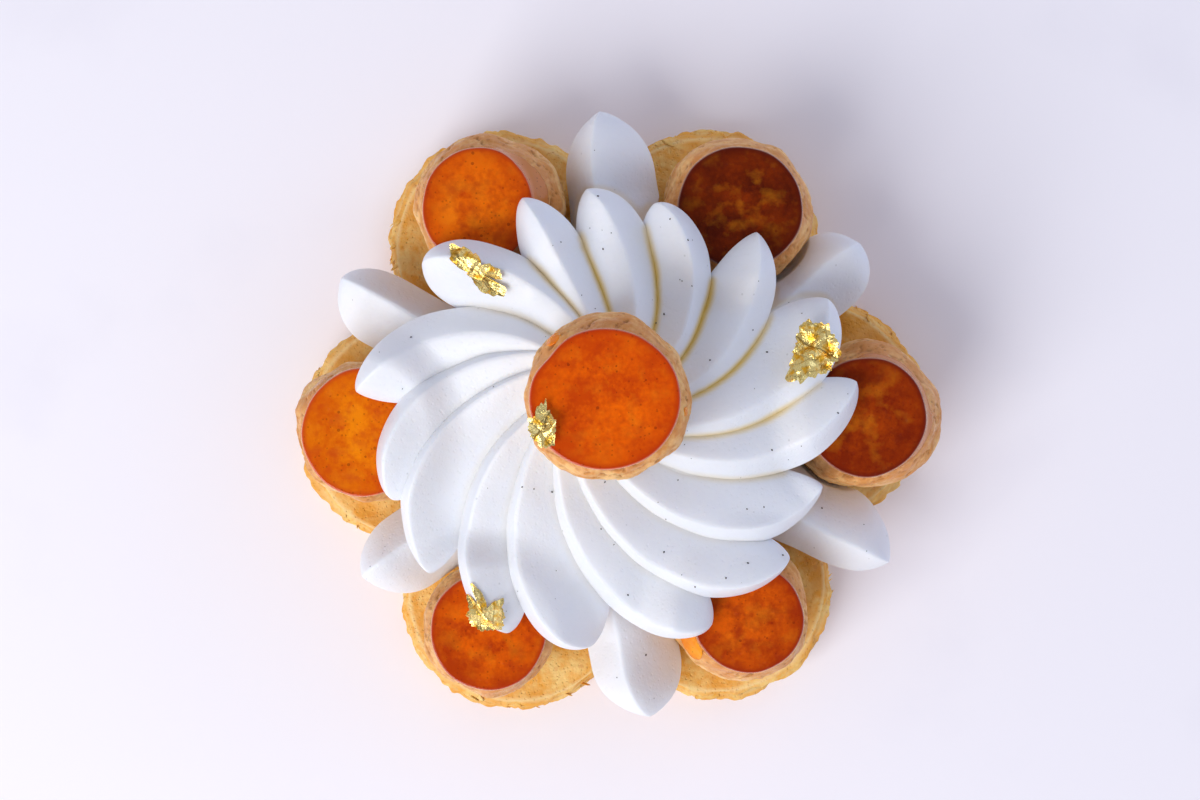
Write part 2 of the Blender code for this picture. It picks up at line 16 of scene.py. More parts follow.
import bpy
import numpy as np
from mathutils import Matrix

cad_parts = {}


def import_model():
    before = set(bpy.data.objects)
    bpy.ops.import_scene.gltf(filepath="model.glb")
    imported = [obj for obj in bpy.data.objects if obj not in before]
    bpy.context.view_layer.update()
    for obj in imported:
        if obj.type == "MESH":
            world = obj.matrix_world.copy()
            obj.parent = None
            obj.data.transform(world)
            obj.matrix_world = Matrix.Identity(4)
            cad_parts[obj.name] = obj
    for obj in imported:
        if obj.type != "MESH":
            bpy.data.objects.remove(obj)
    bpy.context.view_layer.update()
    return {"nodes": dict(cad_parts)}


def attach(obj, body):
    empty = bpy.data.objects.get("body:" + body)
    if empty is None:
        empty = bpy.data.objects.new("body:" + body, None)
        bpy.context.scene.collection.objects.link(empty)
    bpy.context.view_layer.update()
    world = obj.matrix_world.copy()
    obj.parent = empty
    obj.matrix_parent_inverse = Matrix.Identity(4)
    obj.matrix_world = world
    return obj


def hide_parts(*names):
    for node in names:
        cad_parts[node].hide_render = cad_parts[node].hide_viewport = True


LOG = logging.getLogger("saint_honore")

BODY = "root"

# How many values the noise draws, a power of two, and what mixes a cube's place into a number
NOISE_VALUES = 4096
HASH_PRIMES = np.array([73856093, 19349663, 83492791])

# Axis of the ring of buns, and the gap that touching solids keep
RING_AXIS = np.array([-0.0003, -0.0006, 0.0])
GAP = 0.0003

# The camera looks straight down. A pixel of its 1200 x 800 picture at its own height is 1 / FOCAL
CAMERA_PLACE = (-0.0039, 0.0044, 0.5840)
CAMERA_LENS = 60.0
FOCAL_PIXELS = 2000.0
PICTURE_MIDDLE = (600.0, 400.0)
SENSOR_WIDTH = 36.0

# Where the search along a pixel's ray starts, about the height of the cream
FIRST_LEVEL = 0.055

# Heights of the build, from the board up
BASE_THICKNESS = 0.0140
BUN_FOOT = BASE_THICKNESS + GAP
BUN_HEIGHT = 0.0320
TOP_BUN_FOOT = 0.0580
TOP_BUN_HEIGHT = 0.0312
CARAMEL_THICKNESS = 0.0030
CREAM_FLOOR = BUN_FOOT + BUN_HEIGHT + CARAMEL_THICKNESS + 2 * GAP


class Slot(Enum):
    """Finish slots that the cake's record names."""

    PASTRY = "puff_pastry"
    CHOUX = "choux_crust"
    CARAMEL = "caramel"
    CREAM = "vanilla_cream"
    GOLD = "gold_leaf"


class Colour(Enum):
    """Colours of the cake's finishes, linear red, green and blue."""

    CREAM = (0.83, 0.85, 0.905)
    # Painted warm shade for the creases between petals
    CREAM_HOLLOW = (0.78, 0.57, 0.16)
    SEED = (0.012, 0.010, 0.012)
    SEED_BROWN = (0.045, 0.030, 0.022)
    PASTRY_PALE = (0.93, 0.64, 0.23)
    PASTRY_DEEP = (0.85, 0.40, 0.055)
    PASTRY_SHEET = (0.95, 0.71, 0.34)
    PASTRY_TOAST = (0.80, 0.37, 0.065)
    CHOUX_PALE = (0.89, 0.53, 0.21)
    CHOUX_DEEP = (0.70, 0.30, 0.08)
    CHOUX_CRACK = (0.34, 0.11, 0.02)
    # Pale rim of the caramel: its thin edge, and a painted highlight of the rounded rim
    CARAMEL_LIP = (0.84, 0.42, 0.22)
    CARAMEL_THIN = (0.62, 0.22, 0.055)
    CARAMEL_GLOW = (0.90, 0.30, 0.012)
    CARAMEL_SPOT = (0.16, 0.014, 0.002)
    GOLD = (1.0, 0.79, 0.30)
    GOLD_DEEP = (0.92, 0.48, 0.04)
    # Painted shade for the bottoms of the gold leaf's folds
    GOLD_CREASE = (0.20, 0.10, 0.012)
    FLOOR = (0.955, 0.922, 0.985)
    FLOOR_STAIN = (0.80, 0.77, 0.86)


def smooth_step(value: np.ndarray) -> np.ndarray:
    """Eased step from 0 to 1: three squares less two cubes of the clipped value."""
    value = np.clip(value, 0, 1)
    return value * value * (3 - 2 * value)


def full_circle(count: int) -> np.ndarray:
    """Evenly spread turns in radians, from 0."""
    return np.linspace(0, 2 * math.pi, count, endpoint=False)


def inner_tilts(rings: int) -> np.ndarray:
    """A column of evenly spread angles from pole to pole, without the poles."""
    return np.linspace(-math.pi / 2, math.pi / 2, rings + 2)[1:-1, None]


def polar(reach: object, turn: object, level: object) -> np.ndarray:
    """Points from distances from the axis, turns in radians and heights."""
    reach, turn, level = np.broadcast_arrays(reach, turn, level)
    return np.stack([reach * np.cos(turn), reach * np.sin(turn), level], axis=-1)


def lattice_noise(points: np.ndarray, cell: float, seed: int) -> np.ndarray:
    """Smooth noise from -1 to 1.

    Each corner of a lattice of cubes has a random value. A point takes the eight values round it,
    each weighed by the product of its eased shares along the three axes.

    Args:
        points: Places, with three coordinates in the last axis.
        cell: Side of a cube in metres.
        seed: Picks the random values.

    Returns:
        One value for each place.
    """
    table = np.random.default_rng(seed).uniform(-1, 1, NOISE_VALUES)
    scaled = points / cell
    corner = np.floor(scaled).astype(np.int64)
    share = smooth_step(scaled - corner)
    total = np.zeros(points.shape[:-1])
    for step in itertools.product((0, 1), repeat=3):
        place = corner + np.array(step)
        mixed = np.bitwise_xor.reduce(place * HASH_PRIMES, axis=-1)
        weight = np.where(np.array(step) == 1, share, 1 - share).prod(axis=-1)
        total += weight * table[mixed & (NOISE_VALUES - 1)]
    return total


def layered_noise(points: np.ndarray, cell: float, seed: int, layers: int = 3) -> np.ndarray:
    """Sum of lattice noises, each half as coarse and half as strong as the last.

    Args:
        points: Places, with three coordinates in the last axis.
        cell: Side of the coarsest cube in metres.
        seed: Picks the random values.
        layers: How many noises are summed.

    Returns:
        One value for each place, about -1.5 to 1.5.
    """
    return sum(lattice_noise(points, cell / 2**k, seed + k) / 2**k for k in range(layers))


def skin_faces(count: int, around: int) -> tuple[np.ndarray, np.ndarray]:
    """Faces of a closed skin through rings, with a fan to a pole at each end.

    Args:
        count: How many rings there are.
        around: How many points each ring has.

    Returns:
        The quads between rings, and the triangles of both fans. The poles are the last two points.
    """
    index = np.arange(count * around).reshape(count, around)
    after = np.roll(index, -1, axis=1)
    quads = np.stack([index[:-1], after[:-1], after[1:], index[1:]], axis=-1).reshape(-1, 4)
    first = np.full(around, count * around)
    opening = np.stack([first, after[0], index[0]], axis=-1)
    closing = np.stack([first + 1, index[-1], after[-1]], axis=-1)
    return quads, np.concatenate([opening, closing])


def mesh_of(
    name: str, vertices: np.ndarray, quads: np.ndarray, triangles: np.ndarray, **values: np.ndarray
) -> bpy.types.Mesh:
    """Puts arrays into a mesh, its faces outwards.

    The sum of the triple products of the faces' corners is six times the enclosed volume, and
    every face is turned round where that is negative.

    Args:
        name: Name of the mesh.
        vertices: One row of three coordinates for each vertex.
        quads: One row of four vertex numbers for each quad.
        triangles: One row of three vertex numbers for each triangle.
        values: Named attributes, with one number for each vertex.

    Returns:
        The new mesh, smooth shaded.
    """
    halves = np.concatenate([quads[:, [0, 1, 2]], quads[:, [0, 2, 3]], triangles])
    corners = vertices[halves]
    if np.einsum("ij,ij->", corners[:, 0], np.cross(corners[:, 1], corners[:, 2])) < 0:
        quads, triangles = quads[:, ::-1], triangles[:, ::-1]
    mesh = bpy.data.meshes.new(name)
    mesh.from_pydata(vertices.tolist(), [], quads.tolist() + triangles.tolist())
    for key, value in values.items():
        data = mesh.attributes.new(key, "FLOAT", "POINT").data
        data.foreach_set("value", np.ascontiguousarray(value, np.float32))
    mesh.shade_smooth()
    return mesh


def add_object(name: str, data: bpy.types.ID) -> bpy.types.Object:
    """Puts data into the scene as an object.

    Args:
        name: Name of the object.
        data: Its mesh, light or camera data.

    Returns:
        The new object.
    """
    thing = bpy.data.objects.new(name, data)
    bpy.context.scene.collection.objects.link(thing)
    return thing


def add_piece(
    name: str, mesh: bpy.types.Mesh, finish: bpy.types.Material, slot: Slot, *nodes: str
) -> bpy.types.Object:
    """Adds a finished piece of the cake, which stands for some of its solids.

    Args:
        name: Name of the piece.
        mesh: Its mesh, already in place.
        finish: Its material.
        slot: Not used.
        nodes: The solids that it stands for.

    Returns:
        The new object.
    """
    thing = add_object(name, mesh)
    mesh.materials.append(finish)
    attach(thing, BODY)
    if nodes:
        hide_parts(*nodes)
    LOG.info("%s: %d faces", name, len(mesh.polygons))
    return thing


def add_skin(
    name: str,
    rings: np.ndarray,
    finish: bpy.types.Material,
    slot: Slot,
    node: str,
    poles: tuple[np.ndarray | None, np.ndarray | None] = (None, None),
    **values: np.ndarray,
) -> bpy.types.Object:
    """Adds a piece whose closed skin runs through rings of points, with a pole at each end.

    Args:
        name: Name of the piece.
        rings: A row for each ring, a column for each point round it, then three coordinates.
        finish: Its material.
        slot: Passed on to add_piece, which doesn't use it.
        node: The solid that it stands for, or stands for with others.
        poles: The poles before the first ring and after the last. None is the ring's mean.
        values: Named attributes, one number for each point of the rings. A pole takes the mean
            of the ring beside it.

    Returns:
        The new object.
    """
    ends = [rings[k].mean(axis=0) if pole is None else pole for k, pole in zip((0, -1), poles)]
    vertices = np.concatenate([rings.reshape(-1, 3), ends])
    whole = {}
    for key, value in values.items():
        whole[key] = np.concatenate([value.reshape(-1), [value[0].mean(), value[-1].mean()]])
    mesh = mesh_of(name, vertices, *skin_faces(*rings.shape[:2]), **whole)
    return add_piece(name, mesh, finish, slot, node)


def add_copies(
    name: str,
    unit: np.ndarray,
    places: np.ndarray,
    frames: np.ndarray,
    finish: bpy.types.Material,
    slot: Slot,
) -> bpy.types.Object:
    """Adds many copies of one small closed shape as one piece.

    A copy's point is its place plus its frame's three axes weighed by the shape's coordinates.

    Args:
        name: Name of the piece.
        unit: Rings of the shape, with its two poles made from its first and last rings.
        places: One row of three coordinates for each copy.
        frames: Three axes for each copy, as rows, with the copy's sizes in their lengths.
        finish: Its material.
        slot: Passed on to add_piece, which doesn't use it.

    Returns:
        The new object.
    """
    shape = np.concatenate([unit.reshape(-1, 3), [unit[0].mean(axis=0), unit[-1].mean(axis=0)]])
    vertices = places[:, None, :] + np.einsum("vk,nkj->nvj", shape, frames)
    shift = (np.arange(len(places)) * len(shape))[:, None, None]
    faces = [(kind + shift).reshape(-1, kind.shape[1]) for kind in skin_faces(*unit.shape[:2])]
    return add_piece(name, mesh_of(name, vertices.reshape(-1, 3), *faces), finish, slot)


def axes_on(normals: np.ndarray, turns: np.ndarray, sizes: np.ndarray) -> np.ndarray:
    """Frames that lie on a surface: long axis, cross axis, and the surface's normal.

    The long axis is a level direction at the given turn, made square to the normal, and the cross
    axis is the cross product of the normal and the long axis.

    Args:
        normals: Unit normals, one row each.
        turns: Turns of the long axes in radians.
        sizes: Three sizes for each frame, along those axes.

    Returns:
        Three scaled axes for each normal, as rows.
    """
    level = polar(1.0, turns, 0.0)
    level -= normals * (level * normals).sum(axis=-1, keepdims=True)
    level /= np.linalg.norm(level, axis=-1, keepdims=True)
    return np.stack([level, np.cross(normals, level), normals], axis=1) * sizes[:, :, None]


def small_ellipsoid(rings: int, around: int) -> np.ndarray:
    """Rings of a unit sphere without its poles: circles at evenly spaced heights in angle."""
    tilt = inner_tilts(rings)
    return polar(np.cos(tilt), full_circle(around), np.sin(tilt))


@dataclass
class Shading:
    """A node tree, with short ways to add nodes and join them."""

    tree: bpy.types.NodeTree

    def feed(self, socket: bpy.types.NodeSocket, value: object) -> None:
        """Joins a socket to another one, or sets its value.

        Args:
            socket: The input to feed.
            value: A socket to join it to, a colour, or the value itself.
        """
        if isinstance(value, bpy.types.NodeSocket):
            self.tree.links.new(value, socket)
        elif isinstance(value, Colour):
            socket.default_value = (*value.value, 1.0)
        elif isinstance(value, tuple) and socket.type == "RGBA":
            socket.default_value = (*value[:3], 1.0)
        else:
            socket.default_value = value

    def feed_all(self, node: bpy.types.Node, inputs: dict[str | int, object]) -> None:
        """Feeds the inputs of a node, given by name or number."""
        for key, value in inputs.items():
            self.feed(node.inputs[key], value)

    def add(
        self, kind: str, inputs: dict[str | int, object] | None = None, **settings: object
    ) -> bpy.types.Node:
        """Adds a node, sets its properties and feeds its inputs.

        Args:
            kind: The node's type.
            inputs: Sockets or values for its inputs, by name or number.
            settings: Properties of the node by name.

        Returns:
            The new node.
        """
        node = self.tree.nodes.new(kind)
        for key, value in settings.items():
            setattr(node, key, value)
        self.feed_all(node, inputs or {})
        return node

    def place(self) -> bpy.types.NodeSocket:
        """Object coordinates in metres."""
        return self.add("ShaderNodeTexCoord").outputs["Object"]

    def attribute(self, name: str) -> bpy.types.NodeSocket:
        """A value that the piece's mesh holds."""
        return self.add("ShaderNodeAttribute", attribute_name=name).outputs["Fac"]

    def noise(self, place: object, scale: object, detail: float) -> bpy.types.NodeSocket:
        """Noise about 0.5, at a scale in waves to the metre, with some finer layers."""
        inputs = {"Vector": place, "Scale": scale, "Detail": detail}
        return self.add("ShaderNodeTexNoise", inputs).outputs[0]

    def cells(self, place: object, scale: object) -> bpy.types.NodeOutputs:
        """Outputs of a cell pattern, at a scale in cells to the metre."""
        return self.add("ShaderNodeTexVoronoi", {"Vector": place, "Scale": scale}).outputs

    def span(
        self, value: object, low: object, high: object, start: float = 0.0, end: float = 1.0
    ) -> bpy.types.NodeSocket:
        """Maps low to high of a value onto start to end, clamped."""
        inputs = {"Value": value, "From Min": low, "From Max": high, "To Min": start, "To Max": end}
        return self.add("ShaderNodeMapRange", inputs).outputs[0]

    def sum_up(self, operation: str, *values: object) -> bpy.types.NodeSocket:
        """Arithmetic on values, by an operation such as ADD."""
        return self.add("ShaderNodeMath", dict(enumerate(values)), operation=operation).outputs[0]

    def blend(self, factor: object, first: object, second: object) -> bpy.types.NodeSocket:
        """Mixes two colours: a factor of 0 gives the first, and 1 the second."""
        return self.add("ShaderNodeMix", {0: factor, 6: first, 7: second}, data_type="RGBA").outputs[2]

    def bump(self, height: object, depth: float) -> bpy.types.NodeSocket:
        """Normal of a fine relief, from its height, 0 to 1, and its depth in metres."""
        inputs = {"Strength": 1.0, "Distance": depth, "Height": height}
        return self.add("ShaderNodeBump", inputs).outputs[0]

    def group(self, tree: bpy.types.NodeTree, **inputs: object) -> bpy.types.NodeOutputs:
        """Places a group, feeds it, and gives its outputs."""
        return self.add("ShaderNodeGroup", inputs, node_tree=tree).outputs


def new_group(
    name: str, inputs: dict[str, str], outputs: dict[str, str]
) -> tuple[Shading, bpy.types.Node, bpy.types.Node]:
    """Makes an empty node group.

    Args:
        name: Name of the group.
        inputs: Socket types by input name.
        outputs: Socket types by output name.

    Returns:
        Its tree as Shading, its input node and its output node.
    """
    tree = bpy.data.node_groups.new(name, "ShaderNodeTree")
    for way, sockets in (("INPUT", inputs), ("OUTPUT", outputs)):
        for key, kind in sockets.items():
            tree.interface.new_socket(name=key, in_out=way, socket_type=kind)
    shading = Shading(tree)
    return shading, shading.add("NodeGroupInput"), shading.add("NodeGroupOutput")


FLOAT, VECTOR, RGBA = "NodeSocketFloat", "NodeSocketVector", "NodeSocketColor"


@dataclass(frozen=True)
class Mottle:
    """Blotches of a finish: waves to the metre of the coarse and the fine noise, and softness."""

    coarse: float
    fine: float
    soft: float


@dataclass(frozen=True)
class Specks:
    """Specks of a finish: cells to the metre, size in a cell, share of the cells, and strength."""

    scale: float
    size: float
    share: float
    strength: float


@dataclass(frozen=True)
class Grain:
    """Fine relief of a finish: waves to the metre, how strong its pits are, and depth in metres."""

    scale: float
    pits: float
    depth: float


@dataclass
class SharedEffects:
    """Effects that more than one finish uses, each a node group built once."""

    mottle: bpy.types.NodeTree = field(init=False)
    grain: bpy.types.NodeTree = field(init=False)
    specks: bpy.types.NodeTree = field(init=False)

    def __post_init__(self) -> None:
        """Builds the groups."""
        self.mottle = self.build_mottle()
        self.grain = self.build_grain()
        self.specks = self.build_specks()

    @staticmethod
    def build_mottle() -> bpy.types.NodeTree:
        """Uneven baking: two noises summed, and their sum eased from a pale to a deep colour.

        Returns:
            The group's tree.
        """
        inputs = {"Place": VECTOR, "Coarse": FLOAT, "Fine": FLOAT, "Balance": FLOAT, "Soft": FLOAT}
        inputs |= {"Pale": RGBA, "Deep": RGBA}
        work, given, out = new_group("uneven_bake", inputs, {"Colour": RGBA})
        source = given.outputs
        coarse = work.noise(source["Place"], source["Coarse"], 4.0)
        fine = work.sum_up("MULTIPLY", work.noise(source["Place"], source["Fine"], 2.0), 0.30)
        moved = work.sum_up("ADD", work.sum_up("MULTIPLY_ADD", coarse, 0.70, fine), source["Balance"])
        low, high = (work.sum_up(way, 0.5, source["Soft"]) for way in ("SUBTRACT", "ADD"))
        colour = work.blend(work.span(moved, low, high), source["Pale"], source["Deep"])
        work.feed(out.inputs["Colour"], colour)
        return work.tree

    @staticmethod
    def build_grain() -> bpy.types.NodeTree:
        """Fine grain with pits: noise, less the round wells of a cell pattern where they are near.

        Returns:
            The group's tree.
        """
        inputs = {"Place": VECTOR, "Scale": FLOAT, "Pits": FLOAT}
        work, given, out = new_group("fine_grain", inputs, {"Height": FLOAT})
        source = given.outputs
        distance = work.cells(source["Place"], source["Scale"])["Distance"]
        pits = work.sum_up("MULTIPLY", work.span(distance, 0.05, 0.30, 1.0, 0.0), source["Pits"])
        noise = work.noise(source["Place"], source["Scale"], 3.0)
        work.feed(out.inputs["Height"], work.sum_up("SUBTRACT", noise, pits))
        return work.tree

    @staticmethod
    def build_specks() -> bpy.types.NodeTree:
        """Small round specks: the middles of some cells of a cell pattern, as a mask.

        Returns:
            The group's tree.
        """
        inputs = {"Place": VECTOR, "Scale": FLOAT, "Size": FLOAT, "Share": FLOAT}
        work, given, out = new_group("small_specks", inputs, {"Mask": FLOAT})
        source = given.outputs
        cells = work.cells(source["Place"], source["Scale"])
        inside = work.sum_up("LESS_THAN", cells["Distance"], source["Size"])
        split = work.add("ShaderNodeSeparateColor", {0: cells["Color"]}).outputs
        chosen = work.sum_up("LESS_THAN", split[0], source["Share"])
        work.feed(out.inputs["Mask"], work.sum_up("MULTIPLY", inside, chosen))
        return work.tree

    def mottled(
        self, work: Shading, pattern: Mottle, balance: object, pale: object, deep: object
    ) -> bpy.types.NodeSocket:
        """Colour of a surface baked unevenly.

        Args:
            work: The material's tree.
            pattern: Sizes of the blotches.
            balance: Above 0 for more of the deep colour, below 0 for more of the pale one.
            pale: The pale colour.
            deep: The deep colour.

        Returns:
            The colour.
        """
        inputs = {"Coarse": pattern.coarse, "Fine": pattern.fine, "Soft": pattern.soft}
        inputs |= {"Place": work.place(), "Balance": balance, "Pale": pale, "Deep": deep}
        return work.group(self.mottle, **inputs)["Colour"]

    def grained(
        self, work: Shading, grain: Grain
    ) -> tuple[bpy.types.NodeSocket, bpy.types.NodeSocket]:
        """Height of the fine grain, and the normal of its relief.

        Args:
            work: The material's tree.
            grain: Sizes of the grain.

        Returns:
            The height, from 0 to 1, and the normal.
        """
        inputs = {"Place": work.place(), "Scale": grain.scale, "Pits": grain.pits}
        height = work.group(self.grain, **inputs)["Height"]
        return height, work.bump(height, grain.depth)

    def specked(
        self, work: Shading, pattern: Specks, colour: object, speck: Colour
    ) -> bpy.types.NodeSocket:
        """A colour with specks of another over it.

        Args:
            work: The material's tree.
            pattern: Sizes of the specks.
            colour: The colour under them.
            speck: Their own colour.

        Returns:
            The colour.
        """
        inputs = {"Scale": pattern.scale, "Size": pattern.size, "Share": pattern.share}
        mask = work.group(self.specks, Place=work.place(), **inputs)["Mask"]
        return work.blend(work.sum_up("MULTIPLY", mask, pattern.strength), colour, speck)


def new_material(name: str) -> tuple[bpy.types.Material, Shading, bpy.types.Node]:
    """Makes a material.

    Args:
        name: Name of the material.

    Returns:
        The material, its tree and its shader.
    """
    material = bpy.data.materials.new(name)
    material.use_nodes = True
    return material, Shading(material.node_tree), material.node_tree.nodes["Principled BSDF"]


@dataclass(frozen=True)
class CreamFinish:
    """Whipped vanilla cream: satin, slightly see-through, with painted warm shade where petals meet."""

    roughness: float = 0.40
    scatter: float = 0.30
    scatter_depth: float = 0.0020
    grain: Grain = Grain(700.0, 0.5, 0.00012)
    sunk_seeds: Specks = Specks(330.0, 0.10, 0.05, 0.16)

    def build(self, effects: SharedEffects) -> bpy.types.Material:
        """Makes the material, which reads the piece's painted shade for the creases between petals.

        Args:
            effects: The shared groups.

        Returns:
            The material.
        """
        material, work, shader = new_material("vanilla_cream")
        # Painted shade: the creases between petals are tinted warm and dark
        tinted = work.blend(work.attribute("hollow"), Colour.CREAM, Colour.CREAM_HOLLOW)
        height, normal = effects.grained(work, self.grain)
        inputs = {
            "Base Color": effects.specked(work, self.sunk_seeds, tinted, Colour.SEED),
            "Roughness": work.span(height, 0.2, 0.8, self.roughness + 0.08, self.roughness - 0.06),
            "Normal": normal,
            "Subsurface Weight": self.scatter,
            "Subsurface Radius": (1.0, 0.85, 0.70),
            "Subsurface Scale": self.scatter_depth,
            "IOR": 1.42,
        }
        work.feed_all(shader, inputs)
        return material


@dataclass(frozen=True)
class PastryFinish:
    """Baked puff pastry: golden blotches, paler between its sheets."""

    roughness: float = 0.58
    mottle: Mottle = Mottle(130.0, 620.0, 0.09)
    grain: Grain = Grain(900.0, 0.8, 0.00025)
    flecks: Specks = Specks(420.0, 0.30, 0.18, 0.35)

    def build(self, effects: SharedEffects) -> bpy.types.Material:
        """Makes the material, which reads the piece's recess and toast attributes.

        Args:
            effects: The shared groups.

        Returns:
            The material.
        """
        material, work, shader = new_material("puff_pastry")
        baked = effects.mottled(work, self.mottle, 0.0, Colour.PASTRY_PALE, Colour.PASTRY_DEEP)
        toasted = work.blend(work.attribute("toast"), baked, Colour.PASTRY_TOAST)
        inner = work.span(work.attribute("recess"), 0.25, 1.0, 0.0, 0.75)
        sheeted = work.blend(inner, toasted, Colour.PASTRY_SHEET)
        height, normal = effects.grained(work, self.grain)
        inputs = {
            "Base Color": effects.specked(work, self.flecks, sheeted, Colour.CHOUX_DEEP),
            "Roughness": work.span(height, 0.0, 0.8, self.roughness + 0.15, self.roughness - 0.15),
            "Normal": normal,
            "Specular IOR Level": 0.30,
            "Subsurface Weight": 0.12,
            "Subsurface Radius": (1.0, 0.50, 0.15),
            "Subsurface Scale": 0.0014,
        }
        work.feed_all(shader, inputs)
        return material


@dataclass(frozen=True)
class ChouxFinish:
    """Choux crust: golden brown, with dark hairline cracks and flecks, and glazed at its crown."""

    roughness: float = 0.46
    glaze_tint: float = 0.42
    glaze_coat: float = 0.45
    mottle: Mottle = Mottle(170.0, 750.0, 0.09)
    grain: Grain = Grain(1100.0, 0.6, 0.00018)
    flecks: Specks = Specks(520.0, 0.26, 0.22, 0.45)

    def build(self, effects: SharedEffects) -> bpy.types.Material:
        """Makes the material, which reads the piece's crack, baked and glaze attributes.

        Args:
            effects: The shared groups.

        Returns:
            The material.
        """
        material, work, shader = new_material("choux_crust")
        baked, glaze = work.attribute("baked"), work.attribute("glaze")
        crust = effects.mottled(work, self.mottle, baked, Colour.CHOUX_PALE, Colour.CHOUX_DEEP)
        tint = work.sum_up("MULTIPLY", glaze, self.glaze_tint)
        glazed = work.blend(tint, crust, Colour.CARAMEL_THIN)
        cracked = work.blend(work.attribute("crack"), glazed, Colour.CHOUX_CRACK)
        height, normal = effects.grained(work, self.grain)
        inputs = {
            "Base Color": effects.specked(work, self.flecks, cracked, Colour.CHOUX_CRACK),
            "Roughness": work.span(height, 0.0, 0.8, self.roughness + 0.15, self.roughness - 0.12),
            "Normal": normal,
            "Coat Weight": work.sum_up("MULTIPLY", glaze, self.glaze_coat),
            "Coat Roughness": 0.16,
            "Specular IOR Level": 0.22,
            "Subsurface Weight": 0.14,
            "Subsurface Radius": (1.0, 0.40, 0.12),
            "Subsurface Scale": 0.0016,
        }
        work.feed_all(shader, inputs)
        return material


@dataclass(frozen=True)
class CaramelFinish:
    """Set caramel: glossy amber, mottled and specked, with a dark edge and a thin pale skirt."""

    name: str
    pale: tuple[float, float, float]
    deep: tuple[float, float, float]
    edge: tuple[float, float, float]
    balance: float = 0.0
    glow: float = 0.30
    smudge: float = 0.50
    mottle: Mottle = Mottle(125.0, 900.0, 0.12)
    grain: Grain = Grain(480.0, 0.5, 0.00009)
    spots: tuple[Specks, ...] = (Specks(420.0, 0.18, 0.16, 0.50), Specks(1000.0, 0.26, 0.20, 0.35))

    def build(self, effects: SharedEffects) -> bpy.types.Material:
        """Makes the material, which reads the piece's rim attribute.

        Rim is the share of the radius on the top, and runs from 1 to 2 down the skirt.

        Args:
            effects: The shared groups.

        Returns:
            The material.
        """
        material, work, shader = new_material(self.name)
        place, rim = work.place(), work.attribute("rim")
        colour = effects.mottled(work, self.mottle, self.balance, self.pale, self.deep)
        glow = work.span(work.noise(place, 190.0, 5.0), 0.50, 0.70, 0.0, self.glow)
        smudge = work.span(work.noise(place, 260.0, 6.0), 0.52, 0.68, 0.0, self.smudge)
        layers = (
            (glow, Colour.CARAMEL_GLOW),
            (work.span(rim, 0.45, 0.95, 0.0, 0.6), self.deep),
            (smudge, self.edge),
            (work.span(rim, 0.90, 0.97, 0.0, 0.85), self.edge),
            # Pale lip at the rim: partly the thin edge of the caramel, partly a painted highlight
            (work.span(rim, 0.975, 1.0, 0.0, 0.6), Colour.CARAMEL_LIP),
            (work.span(rim, 1.02, 1.5, 0.0, 0.9), Colour.CARAMEL_THIN),
        )
        for mask, tint in layers:
            colour = work.blend(mask, colour, tint)
        for spots in self.spots:
            colour = effects.specked(work, spots, colour, Colour.CARAMEL_SPOT)
        inside, outside = work.span(rim, 0.965, 0.99), work.span(rim, 1.0, 1.1, 0.8, 0.0)
        inputs = {
            "Base Color": colour,
            "Roughness": work.span(work.noise(place, 420.0, 2.0), 0.35, 0.7, 0.07, 0.20),
            "Normal": effects.grained(work, self.grain)[1],
            "Coat Weight": work.sum_up("MULTIPLY", inside, outside),
            "Specular IOR Level": 0.25,
            "Subsurface Weight": 0.12,
            "Subsurface Radius": (1.0, 0.30, 0.06),
            "Subsurface Scale": 0.0020,
            "IOR": 1.50,
        }
        work.feed_all(shader, inputs)
        return material


@dataclass(frozen=True)
class GoldFinish:
    """Beaten gold: bright metal with a fine wrinkle, duller patches and painted shade in its creases."""

    roughness: float = 0.27

    def build(self) -> bpy.types.Material:
        """Makes the material, which reads the piece's painted shade for the bottoms of its folds.

        Returns:
            The material.
        """
        material, work, shader = new_material("gold_leaf")
        place = work.place()
        patches = work.span(work.noise(place, 420.0, 3.0), 0.50, 0.64)
        beaten = work.blend(patches, Colour.GOLD, Colour.GOLD_DEEP)
        inputs = {
            # Painted shade: the bottoms of the folds are darkened
            "Base Color": work.blend(work.attribute("crease"), beaten, Colour.GOLD_CREASE),
            "Roughness": work.span(patches, 0.0, 1.0, self.roughness - 0.04, self.roughness + 0.10),
            "Normal": work.bump(work.noise(place, 1500.0, 3.0), 0.00030),
            "Metallic": 1.0,
        }
        work.feed_all(shader, inputs)
        return material


@dataclass(frozen=True)
class SeedFinish:
    """Vanilla seed: black-brown, a little glossy and uneven."""

    def build(self) -> bpy.types.Material:
        """Makes the material.

        Returns:
            The material.
        """
        material, work, shader = new_material("vanilla_seed")
        shade = work.span(work.noise(work.place(), 1800.0, 2.0), 0.35, 0.65)
        inputs = {
            "Base Color": work.blend(shade, Colour.SEED, Colour.SEED_BROWN),
            "Roughness": work.span(shade, 0.0, 1.0, 0.30, 0.55),
        }
        work.feed_all(shader, inputs)
        return material


@dataclass(frozen=True)
class Bun:
    """One bun and its caramel: places from the ring's axis, and the two radii of the caramel."""

    name: str
    place: tuple[float, float]
    radius: float
    caramel_place: tuple[float, float]
    caramel_radii: tuple[float, float]
    lump_turn: float
    foot: float = BUN_FOOT
    height: float = BUN_HEIGHT


